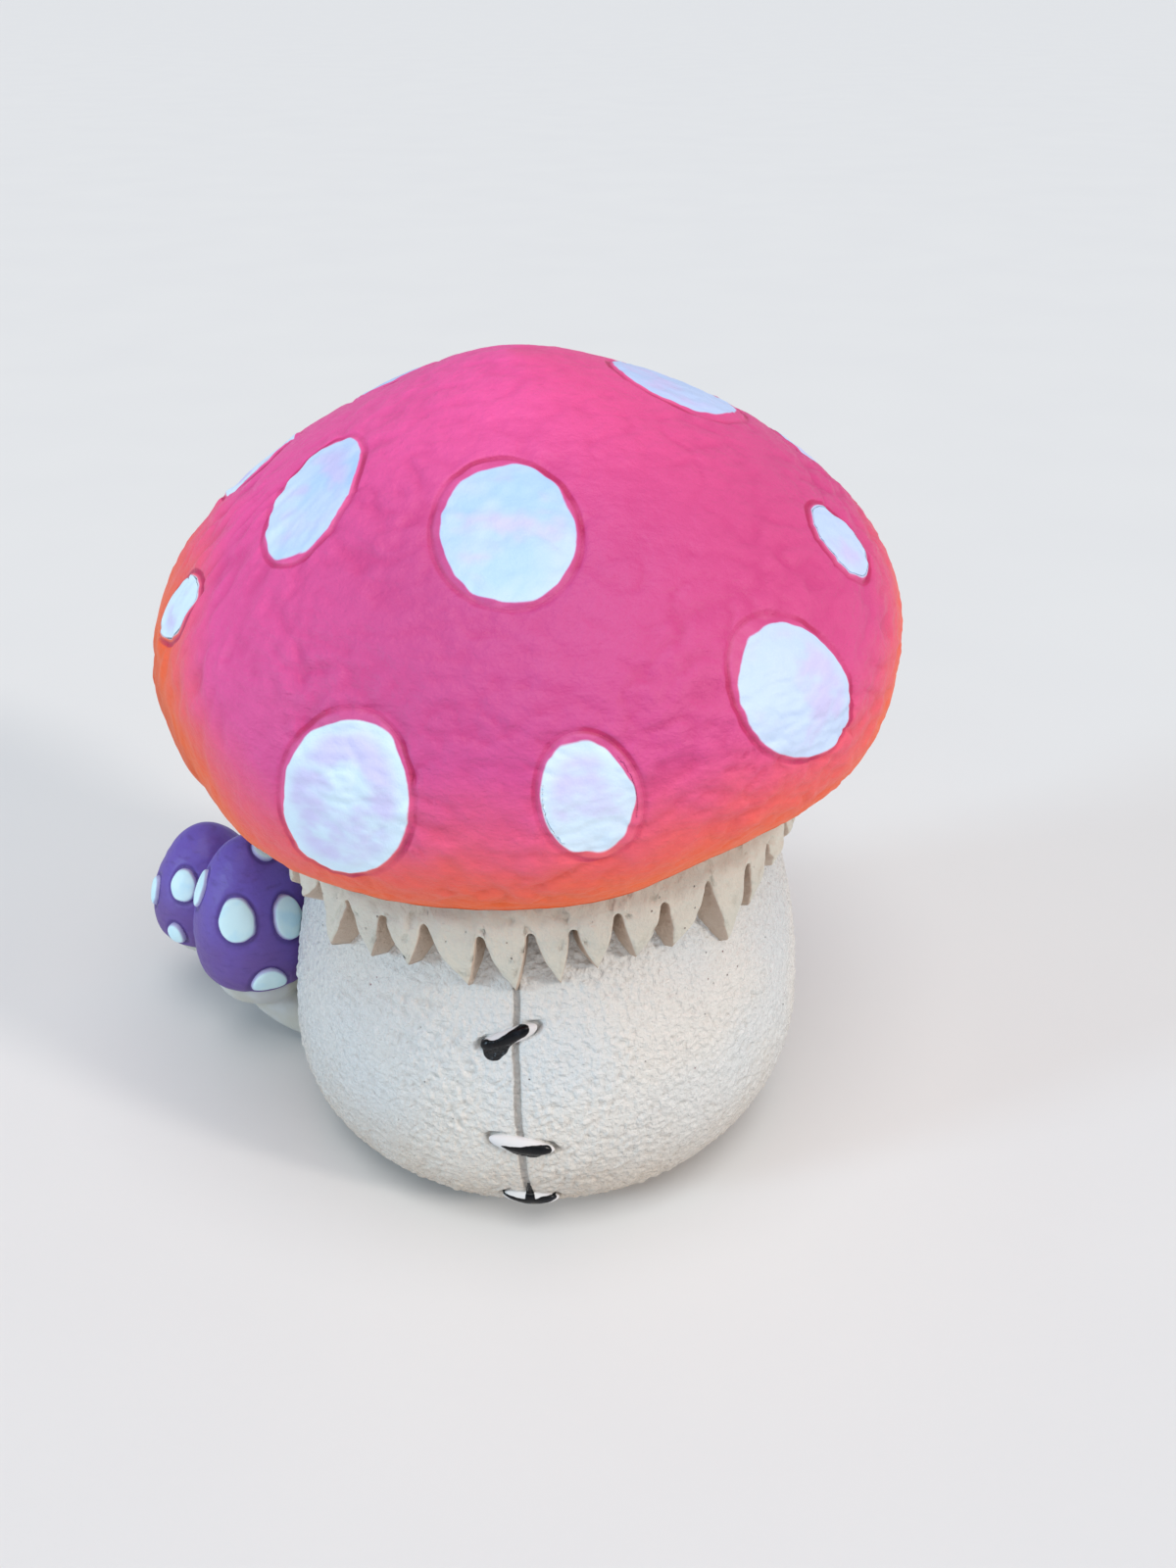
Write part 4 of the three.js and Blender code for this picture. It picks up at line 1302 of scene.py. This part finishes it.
angle = all_round(DROP_SIDES)
for key, small in SMALL.items():
    line = small_line(small)
    for number, spot in enumerate(SMALL_SPOTS[key], 1):
        half = (spot.wide + spot.tall) / 4
        rows = [(0, 0, DROP_PROUD, DEEP_INSIDE)]
        for share in np.linspace(0, DROP_GROWN, DROP_STEPS + 1)[1:]:
            proud = DROP_PROUD * np.sqrt(max(0, 1 - min(share, 1) ** 5))
            sunk = DROP_SINK * smooth(share, 0.93, DROP_GROWN)
            rows.append((*oval(spot, angle, share, 0), proud - sunk, (1 - share) * half))
        right, up, lift, white = joined(rows)
        wave = 1 + 0.05 * lumps(np.column_stack([right, up, np.full(len(up), 5.0 * number)]), 1.9, 43)
        down, turn = onto_dome(line, spot, right * wave, up * wave)
        top = line.points(down, turn, lift + 0.07 * lumps(line.points(down, turn), 1.8, 44))
        points = np.vstack([top, line.points(*below(spot, DROP_LOW))])
        make_piece(f"white_drop_{key}_{number:02d}", off_belly(points + small_place(small), DROP_CLEAR),
                   *closed_net(points, DROP_SIDES), drop_paint, f"small_{key}_spot_{number:02d}",
                   "spot_paint", white=np.append(white, 0))
    print(key, "drops", len(SMALL_SPOTS[key]))

# %% [markdown]
# Under each small cap sits a pale round belly, and a bent stalk runs from it to the foot of the large stem.
# A ball and a tube would meet in a hard crease, so both are joined by a voxel remesh and smoothed, which
# leaves the soft fillet of thumbed clay.

# %% Forms of a stalk
BOWL_STEPS = 13
BOWL_SIDES = 48
BOWL_TOP = -0.3
STALK_RADIUS = 4.2
STALK_STEPS = 22
STALK_SIDES = 24
STALK_BEND = 0.1


def bowl(wide, depth):
    """The round belly under a small cap, as points, quads and triangles."""
    slopes = np.linspace(0, math.pi / 2, BOWL_STEPS + 1)[1:]
    turn, slope = spread(all_round(BOWL_SIDES), slopes)
    rings = turned(wide * np.sin(slope), turn, BOWL_TOP - (depth + BOWL_TOP) * np.cos(slope))
    points = np.vstack([[[0, 0, -depth]], rings, [[0, 0, BOWL_TOP]]])
    return points, *facing_out(points, *closed_net(points, BOWL_SIDES))


def stalk(start, foot):
    """A round stalk that leaves the belly downwards and bends to its foot."""
    corner = start + STALK_BEND * (foot - start)
    corner[2] = foot[2]
    way = bend([start, corner, foot], STALK_STEPS)
    heading = np.gradient(way, axis=0)
    heading /= np.linalg.norm(heading, axis=1)[:, None]
    aside = np.cross(heading, np.cross([0.0, 0.0, 1.0], foot - start))
    aside /= np.linalg.norm(aside, axis=1)[:, None]
    beside = np.cross(heading, aside)
    angle = all_round(STALK_SIDES)[:, None]
    rings = way[:, None] + STALK_RADIUS * (np.cos(angle) * aside[:, None] + np.sin(angle) * beside[:, None])
    points = np.vstack([way[:1], rings.reshape(-1, 3), way[-1:]])
    return points, *facing_out(points, *closed_net(points, STALK_SIDES))


print("a belly has", len(bowl(1, 1)[0]), "points")

# %% Stalk pieces
VOXEL = 0.42
SOFTEN = 0.5
SOFTEN_TIMES = 14
BOWL_INSET = 2.3
STALK_START = np.array([0.0, 0.0, -2.0])
FOOT_REACH = 31
FOOT_HEIGHT = 5.0


def melted(points, quads, tris):
    """One skin over forms that enter each other, with soft fillets."""
    rough = bpy.data.meshes.new("rough_stalk")
    rough.from_pydata((points * MM).tolist(), [], quads.tolist() + tris.tolist())
    shape = bpy.data.objects.new("rough_stalk", rough)
    bpy.context.scene.collection.objects.link(shape)
    remesh = shape.modifiers.new("join", "REMESH")
    remesh.mode = "VOXEL"
    remesh.voxel_size = VOXEL * MM
    soften = shape.modifiers.new("soften", "SMOOTH")
    soften.factor = SOFTEN
    soften.iterations = SOFTEN_TIMES
    done = shape.evaluated_get(bpy.context.evaluated_depsgraph_get()).to_mesh()
    points = np.array([v.co for v in done.vertices]) / MM
    quads = np.array([list(f.vertices) for f in done.polygons if len(f.vertices) == 4])
    tris = np.array([list(f.vertices) for f in done.polygons if len(f.vertices) == 3], int).reshape(-1, 3)
    bpy.data.objects.remove(shape)
    return points, quads, tris


for key, small in SMALL.items():
    stands = small_place(small)
    foot = turned(FOOT_REACH, math.radians(small.foot_turn), FOOT_HEIGHT) - stands
    ball, ball_quads, ball_tris = bowl(small.radius - BOWL_INSET, small.depth)
    tube, tube_quads, tube_tris = stalk(STALK_START, foot)
    points, quads, tris = melted(np.vstack([ball, tube]), np.vstack([ball_quads, tube_quads + len(ball)]),
                                 np.vstack([ball_tris, tube_tris + len(ball)]))
    points += (0.14 * lumps(points, 4.5, 51) + 0.06 * lumps(points, 2, 52))[:, None] * [0.6, 0.6, 0.5]
    make_piece(f"bent_stalk_{key}", off_belly(points + stands, BELLY_CLEAR), quads, tris, stalk_paint,
               f"small_stalk_{key}", "stalk_paint")
    print(key, "stalk", len(points), "points")
